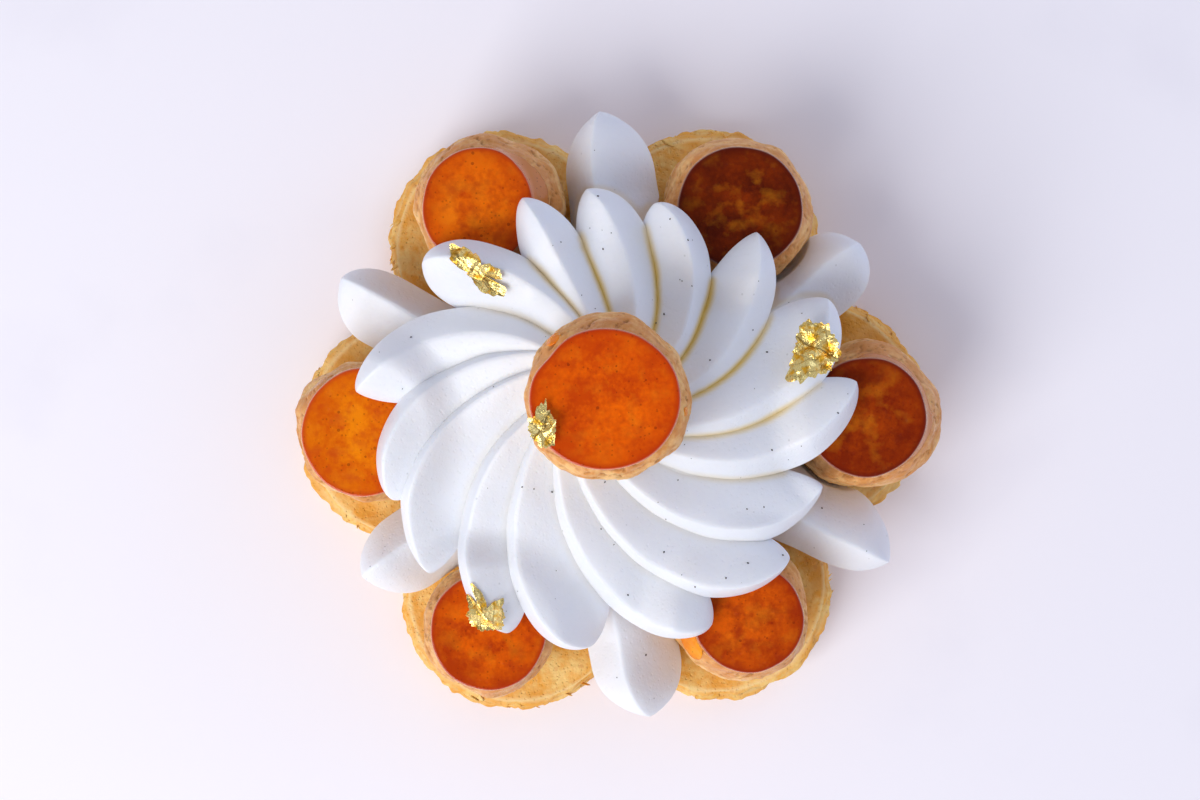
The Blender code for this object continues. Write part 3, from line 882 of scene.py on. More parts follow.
RING_BUNS = (
    Bun("1", (-0.0341, 0.0576), 0.0205, (-0.0363, 0.0567), (0.0148, 0.0161), 0.4),
    Bun("2", (0.0341, 0.0568), 0.0205, (0.0339, 0.0565), (0.0169, 0.0163), 1.9),
    Bun("3", (0.0697, 0.0008), 0.0205, (0.0677, 0.0004), (0.0161, 0.0161), 3.1),
    Bun("4", (0.0352, -0.0534), 0.0188, (0.0361, -0.0534), (0.0148, 0.0147), 4.4),
    Bun("5", (-0.0340, -0.0578), 0.0180, (-0.0335, -0.0569), (0.0156, 0.0157), 5.2),
    Bun("6", (-0.0678, -0.0033), 0.0195, (-0.0665, -0.0036), (0.0170, 0.0172), 6.0),
)
TOP_BUN = Bun(
    "top", (-0.0017, 0.0056), 0.0212, (-0.0024, 0.0052), (0.0188, 0.0174), 2.5, TOP_BUN_FOOT, TOP_BUN_HEIGHT
)

# Caramel by bun, from light amber on the left of the cake to dark on its upper right: partly real, partly
# painted shade on the side away from the lamp
CARAMEL_FINISHES = {
    name.rpartition("_")[2]: CaramelFinish(name, *looks)
    for name, *looks in (
        ("caramel_amber_1", (0.90, 0.172, 0.003), (0.54, 0.056, 0.002), (0.46, 0.045, 0.005), -0.03),
        ("caramel_dark_2", (0.26, 0.030, 0.002), (0.10, 0.010, 0.002), (0.10, 0.008, 0.003)),
        ("caramel_dark_3", (0.40, 0.050, 0.002), (0.22, 0.018, 0.002), (0.15, 0.010, 0.003)),
        ("caramel_red_4", (0.74, 0.115, 0.003), (0.38, 0.034, 0.002), (0.32, 0.024, 0.004)),
        ("caramel_amber_5", (0.84, 0.135, 0.002), (0.46, 0.044, 0.002), (0.44, 0.036, 0.004)),
        ("caramel_amber_6", (0.92, 0.250, 0.003), (0.68, 0.100, 0.002), (0.58, 0.060, 0.008), -0.02),
        ("caramel_top", (0.95, 0.155, 0.002), (0.62, 0.064, 0.002), (0.50, 0.038, 0.003)),
        ("caramel_drip", (0.92, 0.340, 0.015), (0.82, 0.200, 0.008), (0.66, 0.140, 0.010)),
    )
}


@dataclass
class ChouxBun:
    """A choux bun: a full ball with a flat foot and crown, lumpy, with hairline cracks.

    The cuts are shares of the ball's half height, and a cell is the side of a noise's cubes.
    """

    bun: Bun
    foot_cut: float = 0.86
    top_cut: float = 0.78
    fullness: float = 2.2
    lump: float = 0.018
    small_lump: float = 0.6
    around: int = 200
    rows: int = 96
    swell: float = 0.00095
    pimple: float = 0.00018
    wrinkle: float = 0.00022
    crack_depth: float = 0.00055
    crack_width: float = 0.060
    crack_cell: float = 0.0070
    streak_cell: float = 0.0042
    swell_cell: float = 0.0060
    pimple_cell: float = 0.0013
    glaze_cell: float = 0.0065
    glaze_from: float = 0.42
    glaze_ease: float = 0.16

    @property
    def half(self) -> float:
        """Half the height of the ball before its foot and crown are cut off."""
        return self.bun.height / (self.foot_cut + self.top_cut)

    def reach(self, turn: np.ndarray, up: np.ndarray) -> np.ndarray:
        """Radius of the lumpy ball at each turn, and at each share up from its middle.

        Args:
            turn: Turns in radians.
            up: Shares of the half height, from -1 at the bottom to 1.

        Returns:
            Radii in metres.
        """
        out = np.clip(1 - np.abs(up) ** self.fullness, 0, 1) ** (1 / self.fullness)
        small = self.small_lump * np.sin(5 * turn - 2 * self.bun.lump_turn + 2 * up)
        return self.bun.radius * out * (1 + self.lump * (np.sin(3 * turn + self.bun.lump_turn) + small))

    def surface(self) -> tuple[np.ndarray, dict[str, np.ndarray]]:
        """Points of the crust.

        Up is a power of the tilt's sine, cut at the foot and the crown. Two noises swell the
        crust, flat ones wrinkle it, and it sinks along the lines where another crosses zero.

        Returns:
            The points, and how cracked, baked and glazed each is.
        """
        bun = self.bun
        tilt = inner_tilts(self.rows)
        turn = full_circle(self.around)[None, :]
        up = np.sign(tilt) * np.abs(np.sin(tilt)) ** (2 / self.fullness)
        level = self.half * (np.clip(up, -self.foot_cut, self.top_cut) + self.foot_cut)
        points = polar(self.reach(turn, up), turn, level)
        middle = np.array([0, 0, self.half * self.foot_cut])
        seed = int(bun.lump_turn * 100)
        lines = np.abs(layered_noise(points * [1, 1, 1.6], self.crack_cell, seed))
        crack = smooth_step(1 - lines / self.crack_width)
        streaks = lattice_noise(points * [1, 1, 5], self.streak_cell, seed + 11)
        rise = self.swell * lattice_noise(points, self.swell_cell, seed + 7) + self.wrinkle * streaks
        pimples = lattice_noise(points, self.pimple_cell, seed + 9)
        rise += self.pimple * pimples - self.crack_depth * crack
        open_side = smooth_step((self.top_cut - np.abs(up)) / 0.25) + 0 * turn
        outward = (points - middle) / np.linalg.norm(points - middle, axis=-1, keepdims=True)
        border = layered_noise(points, self.glaze_cell, seed + 13)
        glaze = smooth_step((up - self.glaze_from + self.glaze_ease * border) / self.glaze_ease)
        glaze *= np.clip(0.62 + 0.55 * streaks, 0, 1)
        points += outward * (rise * open_side)[..., None]
        baked = 0.20 * smooth_step((up + 0.5) / 1.2) - 0.12 + 0 * turn
        marks = {"crack": 0.8 * crack * open_side, "baked": baked, "glaze": glaze}
        return points + [*bun.place, bun.foot] + RING_AXIS, marks

    def build(self, finish: bpy.types.Material) -> bpy.types.Object:
        """Adds the bun in place of its solid.

        Args:
            finish: The crust's material.

        Returns:
            The new piece.
        """
        points, marks = self.surface()
        name = self.bun.name
        return add_skin(f"choux_crust_{name}", points, finish, Slot.CHOUX, f"choux_{name}", **marks)


@dataclass
class CaramelDisc:
    """Caramel that set on a flat surface: a level top, a rounded rim, and a skirt down the bun.

    The skirt drops below the crown, stands proud of the crust, and ends in a hem that is tucked
    in under it and folded up inside the bun. The dent is on the top bun's disc alone.
    """

    bun: Bun
    around: int = 192
    top_rings: int = 24
    rim_rings: int = 8
    skirt_rings: int = 14
    rim: float = 0.0008
    flat_share: float = 0.965
    wobble: tuple[float, ...] = (0.010, 0.006, 0.003)
    dip: float = 0.00018
    drop: float = 0.0018
    drop_change: float = 0.0009
    drop_power: float = 1.4
    proud: float = 0.00030
    tuck: float = 0.0025
    hem: float = 0.0002
    fold_in: float = 0.0015
    ripple: float = 0.00006
    dent_turn: float = math.radians(142)
    dent_width: float = 0.26
    dent: float = 0.055

    def profile(self) -> tuple[np.ndarray, np.ndarray]:
        """Half section from the middle of the top round the rim.

        The top dips a little in its middle, and the rim is a quarter of an ellipse.

        Returns:
            Shares of the radius, and heights over the bun's crown.
        """
        inner = np.linspace(0, self.flat_share, self.top_rings + 1)[1:]
        level = CARAMEL_THICKNESS - self.dip * (1 - (inner / self.flat_share) ** 2)
        quarter = np.linspace(0, math.pi / 2, self.rim_rings + 1)[1:]
        rim_out = self.flat_share + (1 - self.flat_share) * np.sin(quarter)
        rim_level = CARAMEL_THICKNESS - self.rim * (1 - np.cos(quarter))
        return np.concatenate([inner, rim_out]), np.concatenate([level, rim_level])

    def outline(self, turn: np.ndarray) -> np.ndarray:
        """Share of the radius at each turn: slow waves, and one dent in the top bun's disc.

        Args:
            turn: Turns in radians.

        Returns:
            Shares of the radius.
        """
        start = self.bun.lump_turn
        waves = sum(size * np.sin(n * turn + start * n) for size, n in zip(self.wobble, (2, 5, 9)))
        if self.bun is TOP_BUN:
            off = (turn - self.dent_turn) / self.dent_width
            return 1 + 0.5 * waves - self.dent * np.exp(-(off**2))
        return 1 + waves

    def skirt(self, rim: np.ndarray) -> np.ndarray:
        """Caramel from the rim down to the bun's shoulder, and back under it inside the bun.

        From the bun's axis, the radius goes from the rim's to the skin's as a power of the share
        down, never less than the skin's own there. Waves round the bun move the lower edge.

        Args:
            rim: Points of the rim.

        Returns:
            The rings below the rim.
        """
        bun = self.bun
        ball = ChouxBun(bun)
        crown = bun.foot + bun.height
        away = rim[:, :2] - np.array(bun.place) - RING_AXIS[:2]
        turn, start = np.arctan2(away[:, 1], away[:, 0]), np.hypot(*away.T)
        waves = sum(np.sin(n * turn + n * bun.lump_turn) / math.sqrt(n) for n in (2, 3, 7, 11))
        foot = crown - self.drop - self.drop_change * waves / 2
        share = np.linspace(0, 1, self.skirt_rings + 1)[1:, None]
        level = rim[:, 2] + (foot - rim[:, 2]) * share
        up = np.minimum((level - bun.foot) / ball.half - ball.foot_cut, 1.0)
        skin = np.where(level < crown, ball.reach(turn, up), 0) + self.proud
        end = skin[-1]
        radius = np.maximum(start + (end - start) * share**self.drop_power, skin)
        level = np.concatenate([level, [foot - self.hem, np.full_like(foot, crown - self.fold_in)]])
        radius = np.concatenate([radius, [end - self.tuck, 0.7 * end]])
        return polar(radius, turn, level) + (np.array([*bun.place, 0.0]) + RING_AXIS)

    def build(self, finish: bpy.types.Material) -> bpy.types.Object:
        """Adds the disc in place of its solid.

        Args:
            finish: The caramel's material.

        Returns:
            The new piece.
        """
        bun = self.bun
        shares, levels = self.profile()
        turn = full_circle(self.around)
        outline = self.outline(turn)[None, :]
        reach = shares[:, None] * (1 + (outline - 1) * shares[:, None] ** 2)
        ripple = self.ripple * np.sin(4 * turn + bun.lump_turn)[None, :] * shares[:, None] ** 2
        x = reach * bun.caramel_radii[0] * np.cos(turn)
        y = reach * bun.caramel_radii[1] * np.sin(turn)
        top = np.stack([x, y, levels[:, None] + ripple], axis=-1)
        top += np.array([*bun.caramel_place, bun.foot + bun.height + GAP]) + RING_AXIS
        skirt = self.skirt(top[-1])
        points = np.concatenate([top, skirt])
        below = np.minimum(1 + (np.arange(len(skirt)) + 1) / self.skirt_rings, 2)
        rim = np.concatenate([shares, below])[:, None] + 0 * turn
        name, node = f"caramel_disc_{bun.name}", f"caramel_{bun.name}"
        return add_skin(name, points, finish, Slot.CARAMEL, node, rim=rim)


@dataclass(frozen=True)
class Drip:
    """Where caramel ran onto a bun's shoulder.

    The turn is in degrees, and the place lies a drop below the crown. The halves are its half
    sizes along the bun's side, down it and out of it.
    """

    bun: Bun
    turn: float
    drop: float
    halves: tuple[float, float, float]


@dataclass
class CaramelDrips:
    """Small set drips of caramel on the buns' shoulders."""

    drips: tuple[Drip, ...] = (
        Drip(TOP_BUN, 132.5, 0.0068, (0.0022, 0.0022, 0.0007)),
        Drip(TOP_BUN, -13.0, 0.0058, (0.0020, 0.0015, 0.0005)),
        Drip(RING_BUNS[3], 209.0, 0.0042, (0.0042, 0.0034, 0.0007)),
    )

    def build(self, finish: bpy.types.Material) -> bpy.types.Object:
        """Adds the drips as one piece, each half sunk in its bun's skin.

        Args:
            finish: The caramel's material.

        Returns:
            The new piece.
        """
        places, normals = [], []
        for drip in self.drips:
            ball, turn = ChouxBun(drip.bun), math.radians(drip.turn)
            up = ball.top_cut - drip.drop / ball.half
            out = polar(ball.reach(np.array(turn), np.array(up)), turn, ball.half * up)
            places.append(out + [*drip.bun.place, drip.bun.foot + ball.half * ball.foot_cut] + RING_AXIS)
            normals.append(out / np.linalg.norm(out))
        turns = np.radians([drip.turn + 90 for drip in self.drips])
        frames = axes_on(np.array(normals), turns, np.array([drip.halves for drip in self.drips]))
        unit = small_ellipsoid(24, 48)
        unit *= 1 + 0.16 * lattice_noise(unit, 0.7, 21)[..., None]
        return add_copies("caramel_drips", unit, np.array(places), frames, finish, Slot.CARAMEL)


@dataclass
class PuffPastry:
    """The pastry disc: six lobes, with the edges of its sheets standing out ragged at the side.

    The lobes are circles, at their angles in degrees and their distances from the middle.
    """

    lobe_radius: float = 0.0323
    lobe_angles: tuple[float, ...] = (2.0, 62.0, 122.5, 183.5, 241.5, 302.0)
    lobe_distances: tuple[float, ...] = (0.0572, 0.0566, 0.0584, 0.0574, 0.0584, 0.0572)
    inset: float = 0.0016
    sheets: int = 11
    rows_a_sheet: int = 6
    around: int = 760
    top_rings: int = 26
    sheet_depth: float = 0.0011
    ragged: float = 0.0012
    ragged_cell: float = 0.0050
    longest: float = 0.0028
    foot_round: float = 0.0012
    rim_round: float = 0.0014
    rim_begins: float = 0.86
    scale_step: float = 0.00030
    scale_steps: float = 2.6
    scale_cell: float = 0.0090
    toast_cell: float = 0.0075
    toast_from: float = 0.78
    toast_above: float = 0.009
    flakes: int = 210
    flake_halves: tuple[tuple[float, float], ...] = (
        (0.0010, 0.0026),
        (0.0005, 0.0011),
        (0.00012, 0.00022),
    )

    def outline(self, turn: np.ndarray) -> np.ndarray:
        """Furthest radius of the lobes' circles at each turn.

        Args:
            turn: Turns in radians.

        Returns:
            Radii in metres.
        """
        furthest = np.zeros_like(turn)
        for lobe_angle, distance in zip(self.lobe_angles, self.lobe_distances):
            off = turn - math.radians(lobe_angle)
            under_root = self.lobe_radius**2 - (distance * np.sin(off)) ** 2
            met = (under_root > 0) & (np.cos(off) > 0)
            radius = distance * np.cos(off) + np.sqrt(np.maximum(under_root, 0))
            furthest = np.maximum(furthest, np.where(met, radius, 0))
        return furthest

    def side(self, turn: np.ndarray) -> tuple[np.ndarray, np.ndarray]:
        """Points of the side, from the board up.

        The height, moved up and down by a slow wave round the disc, picks a sheet and a place
        across it. A sheet's edge is half an ellipse across, as long as a noise of its own says,
        and it draws back to the same line above and below.

        Args:
            turn: Turns round the disc.

        Returns:
            The points, and how far back each lies between the sheets.
        """
        share = np.linspace(0, 1, self.sheets * self.rows_a_sheet + 1)[:, None]
        wave = 0.45 * np.sin(3 * turn + 1.0) + 0.3 * np.sin(8 * turn + 2.0) + 0.2 * np.sin(19 * turn)
        phase = share * self.sheets + wave[None, :] * np.sin(math.pi * share)
        sheet = np.floor(phase)
        edge = np.sqrt(np.clip(1 - (2 * (phase - sheet) - 1) ** 2, 0, 1))
        ring = self.outline(turn)[None, :] - self.inset + 0 * sheet
        own = polar(ring, turn, sheet * 0.05)
        length = self.sheet_depth + self.ragged * layered_noise(own, self.ragged_cell, 41)
        reach = ring + np.clip(length, 0.0002, self.longest) * edge
        rounding = self.foot_round * (1 - smooth_step(share / 0.10))
        reach -= rounding + self.rim_round * smooth_step((share - self.rim_begins) / 0.14)
        return polar(reach, turn, share * BASE_THICKNESS), 1 - edge

    def top(self, turn: np.ndarray, rim: np.ndarray) -> tuple[np.ndarray, np.ndarray]:
        """Points of the top, from the rim in: scales of pastry a step above each other.

        A noise is cut into steps with short eased rises, and the steps fade towards the rim.

        Args:
            turn: Turns round the disc.
            rim: The side's last ring.

        Returns:
            The points, and zero for each, as the top has no recess.
        """
        share = 1 - np.linspace(0, 1, self.top_rings + 2)[1:-1, None] ** 1.2
        reach = np.linalg.norm(rim[:, :2], axis=1)[None, :] * share
        flat = polar(reach, turn, 0.0)
        noise = self.scale_steps * layered_noise(flat, self.scale_cell, 77)
        step = np.floor(noise) + smooth_step((noise - np.floor(noise)) / 0.25)
        fade = smooth_step((1 - share) / 0.06)
        flat[..., 2] = BASE_THICKNESS + self.scale_step * (step - 1.0) * fade
        return flat, 0 * reach

    def add_flakes(self, finish: bpy.types.Material) -> bpy.types.Object:
        """Adds loose scales at the rim: small thin wavy sheets, at seeded places on the side.

        Each lies along the outline's tangent, its normal between outward and up.

        Args:
            finish: The pastry's material.

        Returns:
            All the scales as one piece.
        """
        draw = np.random.default_rng(5)
        turn = draw.uniform(0, 2 * math.pi, self.flakes)
        share = draw.uniform(0.15, 1.0, self.flakes)
        back = 0.0016 * smooth_step((share - self.rim_begins) / 0.14)
        places = polar(self.outline(turn) - self.inset + 0.0006 - back, turn, share * BASE_THICKNESS)
        upper, lower = (draw.uniform(*span, self.flakes) for span in ((0.9, 1.4), (-0.3, 0.5)))
        lean = np.where(share > 0.9, upper, lower)
        normals = polar(np.cos(lean), turn, np.sin(lean))
        sizes = np.stack([draw.uniform(*span, self.flakes) for span in self.flake_halves], axis=-1)
        unit = small_ellipsoid(3, 10)
        unit[..., 2] += 1.6 * np.sin(2.2 * unit[..., 0]) * np.cos(1.5 * unit[..., 1])
        frames = axes_on(normals, turn + math.pi / 2 + draw.uniform(-0.4, 0.4, self.flakes), sizes)
        return add_copies("pastry_scales", unit, places + RING_AXIS, frames, finish, Slot.PASTRY)

    def build(self, finish: bpy.types.Material) -> None:
        """Adds the disc and its loose scales.

        The rim is toasted where it is high, in patches of a noise.

        Args:
            finish: The pastry's material.
        """
        turn = full_circle(self.around)
        side, side_recess = self.side(turn)
        top, top_recess = self.top(turn, side[-1])
        rings = np.concatenate([side, top]) + RING_AXIS
        reach = np.linalg.norm(rings[..., :2] - RING_AXIS[:2], axis=-1) / self.outline(turn)
        toast = smooth_step((reach - self.toast_from) / 0.20)
        toast *= smooth_step((rings[..., 2] - self.toast_above) / 0.004)
        toast *= np.clip(0.40 + 0.75 * layered_noise(rings, self.toast_cell, 83), 0, 0.9)
        marks = {"recess": np.concatenate([side_recess, top_recess]), "toast": toast}
        poles = (RING_AXIS, top[-1].mean(axis=0) + RING_AXIS)
        add_skin("puff_pastry", rings, finish, Slot.PASTRY, "puff_base", poles, **marks)
        self.add_flakes(finish)


@dataclass(frozen=True)
class Petal:
    """One stroke of the nozzle, seen from above.

    The tip and the root are polar, in degrees and metres. The stroke bends clockwise by a share
    of its length, and its crest lies at a share of the width from the counterclockwise edge.
    A blunt tip is 1 and a pointed one 0.
    """

    tip_angle: float
    tip_reach: float
    root_angle: float
    bend: float
    clockwise_width: float
    counter_width: float
    crest: float
    blunt: float


ROSETTE_PETALS = (
    Petal(113.0, 0.0592, 92.0, 0.00, 0.0086, 0.0076, 0.52, 0.50),
    Petal(96.3, 0.0577, 70.0, 0.10, 0.0097, 0.0102, 0.60, 0.50),
    Petal(77.5, 0.0546, 40.0, 0.18, 0.0080, 0.0102, 0.72, 0.65),
    Petal(49.5, 0.0598, 8.0, 0.15, 0.0080, 0.0125, 0.70, 0.35),
    Petal(26.0, 0.0645, -18.0, 0.18, 0.0095, 0.0138, 0.70, 0.75),
    Petal(5.3, 0.0655, -43.0, 0.19, 0.0080, 0.0130, 0.72, 0.60),
    Petal(-21.0, 0.0605, -75.0, 0.19, 0.0097, 0.0120, 0.80, 0.45),
    Petal(-40.5, 0.0628, -107.0, 0.20, 0.0111, 0.0120, 0.84, 0.50),
    Petal(-64.8, 0.0642, -134.0, 0.18, 0.0100, 0.0125, 0.84, 0.85),
    Petal(-93.6, 0.0645, -148.0, 0.18, 0.0106, 0.0138, 0.86, 0.80),
    Petal(-113.6, 0.0662, -168.0, 0.20, 0.0084, 0.0110, 0.86, 0.75),
    Petal(-136.5, 0.0655, -199.0, 0.20, 0.0106, 0.0110, 0.86, 0.55),
    Petal(-156.0, 0.0630, -213.0, 0.20, 0.0110, 0.0118, 0.84, 0.60),
    Petal(177.3, 0.0672, 133.0, 0.20, 0.0080, 0.0156, 0.70, 0.55),
    Petal(143.8, 0.0620, 112.0, 0.13, 0.0086, 0.0106, 0.70, 0.85),
)

SIDE_PETALS = (
    Petal(92.4, 0.0850, 88.5, 0.00, 0.0133, 0.0115, 0.30, 0.25),
    Petal(34.8, 0.0838, 29.5, 0.00, 0.0110, 0.0115, 0.40, 0.75),
    Petal(-27.4, 0.0862, -28.0, 0.00, 0.0086, 0.0138, 0.65, 0.30),
    Petal(-82.8, 0.0832, -85.0, 0.00, 0.0138, 0.0112, 0.65, 0.40),
    Petal(212.3, 0.0820, 212.0, 0.00, 0.0100, 0.0122, 0.60, 0.50),
    Petal(152.8, 0.0846, 155.0, 0.00, 0.0084, 0.0126, 0.65, 0.60),
)


# Floors of the strokes in metres, and how thick a stroke is at its root and how much it thins
ROSETTE_ROOT_LEVEL = 0.0530
ROSETTE_FALL_ENDS = 0.45
ROSETTE_THICKNESS, ROSETTE_THINNING = 0.0140, 0.0020
SIDE_TIP_LEVEL = 0.0230
SIDE_RISE_BEGINS = 0.40
SIDE_THICKNESS, SIDE_THINNING = 0.0285, 0.0125


def rosette_heights(along: np.ndarray) -> tuple[np.ndarray, np.ndarray]:
    """Floor and thickness of a rosette petal: it steps down off the mound and lies level.

    Args:
        along: Shares of the length from the root.

    Returns:
        Floor and thickness in metres.
    """
    fall = np.clip(1 - along / ROSETTE_FALL_ENDS, 0, 1) ** 2
    floor = CREAM_FLOOR + (ROSETTE_ROOT_LEVEL - CREAM_FLOOR) * fall
    return floor, ROSETTE_THICKNESS - ROSETTE_THINNING * along


def side_heights(along: np.ndarray) -> tuple[np.ndarray, np.ndarray]:
    """Floor and thickness of a side petal: it leaves the pastry halfway and rises to its tip."""
    rise = np.clip((along - SIDE_RISE_BEGINS) / (1 - SIDE_RISE_BEGINS), 0, 1) ** 1.4
    return BUN_FOOT + (SIDE_TIP_LEVEL - BUN_FOOT) * rise, SIDE_THICKNESS - SIDE_THINNING * along


@dataclass(frozen=True)
class Stroke:
    """What the petals of one kind share: where they start, and their sections' form.

    edge is the share of the thickness at which a stroke is widest, at its root and its tip.
    root_width is its width at the root against its full width, and heights gives its floor and
    thickness along it.
    """

    start: float
    centre: tuple[float, float]
    edge: tuple[float, float]
    root_width: float
    heights: Callable[[np.ndarray], tuple[np.ndarray, np.ndarray]]


ROSETTE_STROKE = Stroke(0.0120, (-0.0010, 0.0040), (0.32, 0.32), 0.84, rosette_heights)
SIDE_STROKE = Stroke(0.0453, (0.0, 0.0), (0.60, 0.42), 1.05, side_heights)


def closing(along: np.ndarray, begin: float, power: float) -> np.ndarray:
    """How far a stroke has closed towards its tip, from 1 down to 0."""
    part = np.clip((along - begin) / (1 - begin), 0, 1)
    return (1 - part**2.3) ** power


@dataclass
class CreamPetal:
    """The skin of one piped petal: a rounded roof over a rounded keel, along a bent spine."""

    petal: Petal
    stroke: Stroke
    seed: int
    crest_power: float = 1.34
    hip_tilt: float = 0.08
    tip_spread: float = 1.5
    stations: int = 84
    around: int = 112
    ripple: float = 0.00028
    ripple_cell: float = 0.0085
    sag: float = 0.0060
    sag_from_bun: float = 0.0185
    sag_from_axis: float = 0.0280

    def spine(self, along: np.ndarray) -> tuple[np.ndarray, np.ndarray]:
        """Middle line from above: a quadratic curve through root, pulled corner and tip.

        Args:
            along: Shares of the length.

        Returns:
            Its points, and unit directions to its clockwise side.
        """
        petal = self.petal
        ends = (self.stroke.start, petal.root_angle), (petal.tip_reach, petal.tip_angle)
        root, tip = (polar(reach, math.radians(angle), 0.0)[:2] for reach, angle in ends)
        chord = tip - root
        middle = (root + tip) / 2 + 2 * petal.bend * np.array([chord[1], -chord[0]])
        t = along[:, None]
        points = (1 - t) ** 2 * root + 2 * t * (1 - t) * middle + t**2 * tip
        ahead = (1 - t) * (middle - root) + t * (tip - middle)
        ahead /= np.linalg.norm(ahead, axis=1)[:, None]
        return points + np.array(self.stroke.centre), np.stack([ahead[:, 1], -ahead[:, 0]], axis=1)

    def surface(self, along: np.ndarray, across: np.ndarray, upper: np.ndarray) -> np.ndarray:
        """Points of the skin.

        The width and the height swell from the root and close at the tip. The upper side falls
        from the crest as a power of the share across, and the lower side is half an ellipse.
        Noise ripples it all, and cream of the rosette hangs lower between the buns.

        Args:
            along: Shares from root to tip.
            across: Shares from the counterclockwise edge, -1, to the clockwise edge, 1.
            upper: For each share across, whether it is on the upper side.

        Returns:
            Points with a row for each share along and a column for each share across.
        """
        petal = self.petal
        points, side = self.spine(along)
        floor, thickness = self.stroke.heights(along)
        opened = np.sin(np.clip(along / 0.6, 0, 1) * math.pi / 2)
        swell = self.stroke.root_width + (1 - self.stroke.root_width) * opened
        width = swell * closing(along, 0.45 + 0.30 * petal.blunt, 0.85 - 0.35 * petal.blunt)
        height = thickness * closing(along, 0.60 + 0.25 * petal.blunt, 0.5)
        x = across[None, :]
        crest = petal.crest * (petal.clockwise_width + petal.counter_width) - petal.counter_width
        reach = np.where(x > 0, petal.clockwise_width - crest, petal.counter_width + crest)
        offset = (crest + x * reach) * width[:, None]
        edge = self.stroke.edge[0] + (self.stroke.edge[1] - self.stroke.edge[0]) * along
        hip = edge[:, None] + self.hip_tilt * x
        roof = hip + (1 - hip) * (1 - np.abs(x) ** self.crest_power)
        keel = hip * (1 - np.sqrt(np.clip(1 - x**2, 0, 1)))
        rise = np.where(upper[None, :], roof, keel) * height[:, None]
        lift = (floor + edge * (thickness - height))[:, None]
        flat = points[:, None, :] + side[:, None, :] * offset[:, :, None]
        skin = np.concatenate([flat, (lift + rise)[:, :, None]], axis=2)
        return self.settled(self.rippled(skin)) + RING_AXIS

    def rippled(self, points: np.ndarray) -> np.ndarray:
        """Slow uneven swelling of the cream, its own for each petal and for each axis."""
        parts = [lattice_noise(points, self.ripple_cell, self.seed + k) for k in (1, 2, 3)]
        return points + self.ripple * np.stack(parts, axis=-1)

    def settled(self, points: np.ndarray) -> np.ndarray:
        """Lets rosette cream hang between the buns, and presses side petals out of the buns.

        Rosette cream sinks by the sag, eased in from 18.5 to 30 mm from the nearest bun and
        outwards from 28 mm. A point of a side petal inside a bun moves level to its skin.

        Args:
            points: Points of the skin.

        Returns:
            The settled points.
        """
        if self.stroke is SIDE_STROKE:
            return clear_of_buns(points)
        flat = points[..., :2]
        nearest = np.full(flat.shape[:-1], 1.0)
        for bun in RING_BUNS:
            nearest = np.minimum(nearest, np.linalg.norm(flat - np.array(bun.place), axis=-1))
        between = smooth_step((nearest - self.sag_from_bun) / 0.0115)
        outside = smooth_step((np.linalg.norm(flat, axis=-1) - self.sag_from_axis) / 0.0280)
        moved = points.copy()
        moved[..., 2] -= self.sag * between * outside
        return moved

    def nose(self) -> np.ndarray:
        """Where the skin closes at the tip.

        Returns:
            The point.
        """
        tip, _ = self.spine(np.array([1.0]))
        floor, thickness = self.stroke.heights(np.array([1.0]))
        point = np.array([[[*tip[0], floor[0] + self.stroke.edge[1] * thickness[0]]]])
        return self.settled(self.rippled(point))[0, 0] + RING_AXIS

    def stations_to_tip(self, count: int) -> np.ndarray:
        """Shares of the length from the root, closer together towards the tip."""
        return 1 - (1 - np.linspace(0, 1, count, endpoint=False)) ** self.tip_spread

    def top(self, along: int, across: int) -> np.ndarray:
        """Points of the upper side alone, evenly spread."""
        shares = self.stations_to_tip(along)
        return self.surface(shares, np.linspace(-1, 1, across), np.full(across, True))

    def build(
        self, name: str, relief: CreamRelief, finish: bpy.types.Material, node: str
    ) -> bpy.types.Object:
        """Adds the petal.

        Args:
            name: Name of the piece.
            relief: The cream seen from above, which gives the shade painted into its creases.
            finish: The cream's material.
            node: The solid that it stands for, or stands for with others.

        Returns:
            The new piece.
        """
        turn = full_circle(self.around)
        shares = self.stations_to_tip(self.stations)
        rings = self.surface(shares, np.cos(turn), np.sin(turn) >= -1e-9)
        # Painted shade where the petal lies in the creases between petals
        hollow = relief.hollow_at(rings)
        return add_skin(name, rings, finish, Slot.CREAM, node, (None, self.nose()), hollow=hollow)


def clear_of_buns(points: np.ndarray) -> np.ndarray:
    """Moves what lies inside a bun of the ring level outwards, to the bun's skin.

    The powers of the distances from the bun's middle, each over its radius, sum to a depth under
    1 inside, and the distances are scaled by the depth's root.

    Args:
        points: Points from the ring's axis.

    Returns:
        The moved points.
    """
    shape = ChouxBun(RING_BUNS[0])
    largest = 1 + shape.lump * (1 + shape.small_lump)
    moved = points.copy()
    for bun in RING_BUNS:
        middle = np.array([*bun.place, BUN_FOOT + shape.half * shape.foot_cut])
        radii = np.array([bun.radius, bun.radius, shape.half]) * largest + 2 * GAP
        away = (moved - middle) / radii
        depth = (np.abs(away) ** shape.fullness).sum(axis=-1, keepdims=True)
        grow = np.where(depth < 1, np.maximum(depth, 1e-6) ** (-1 / shape.fullness), 1.0)
        moved[..., :2] = (middle + away * radii * grow)[..., :2]
    return moved


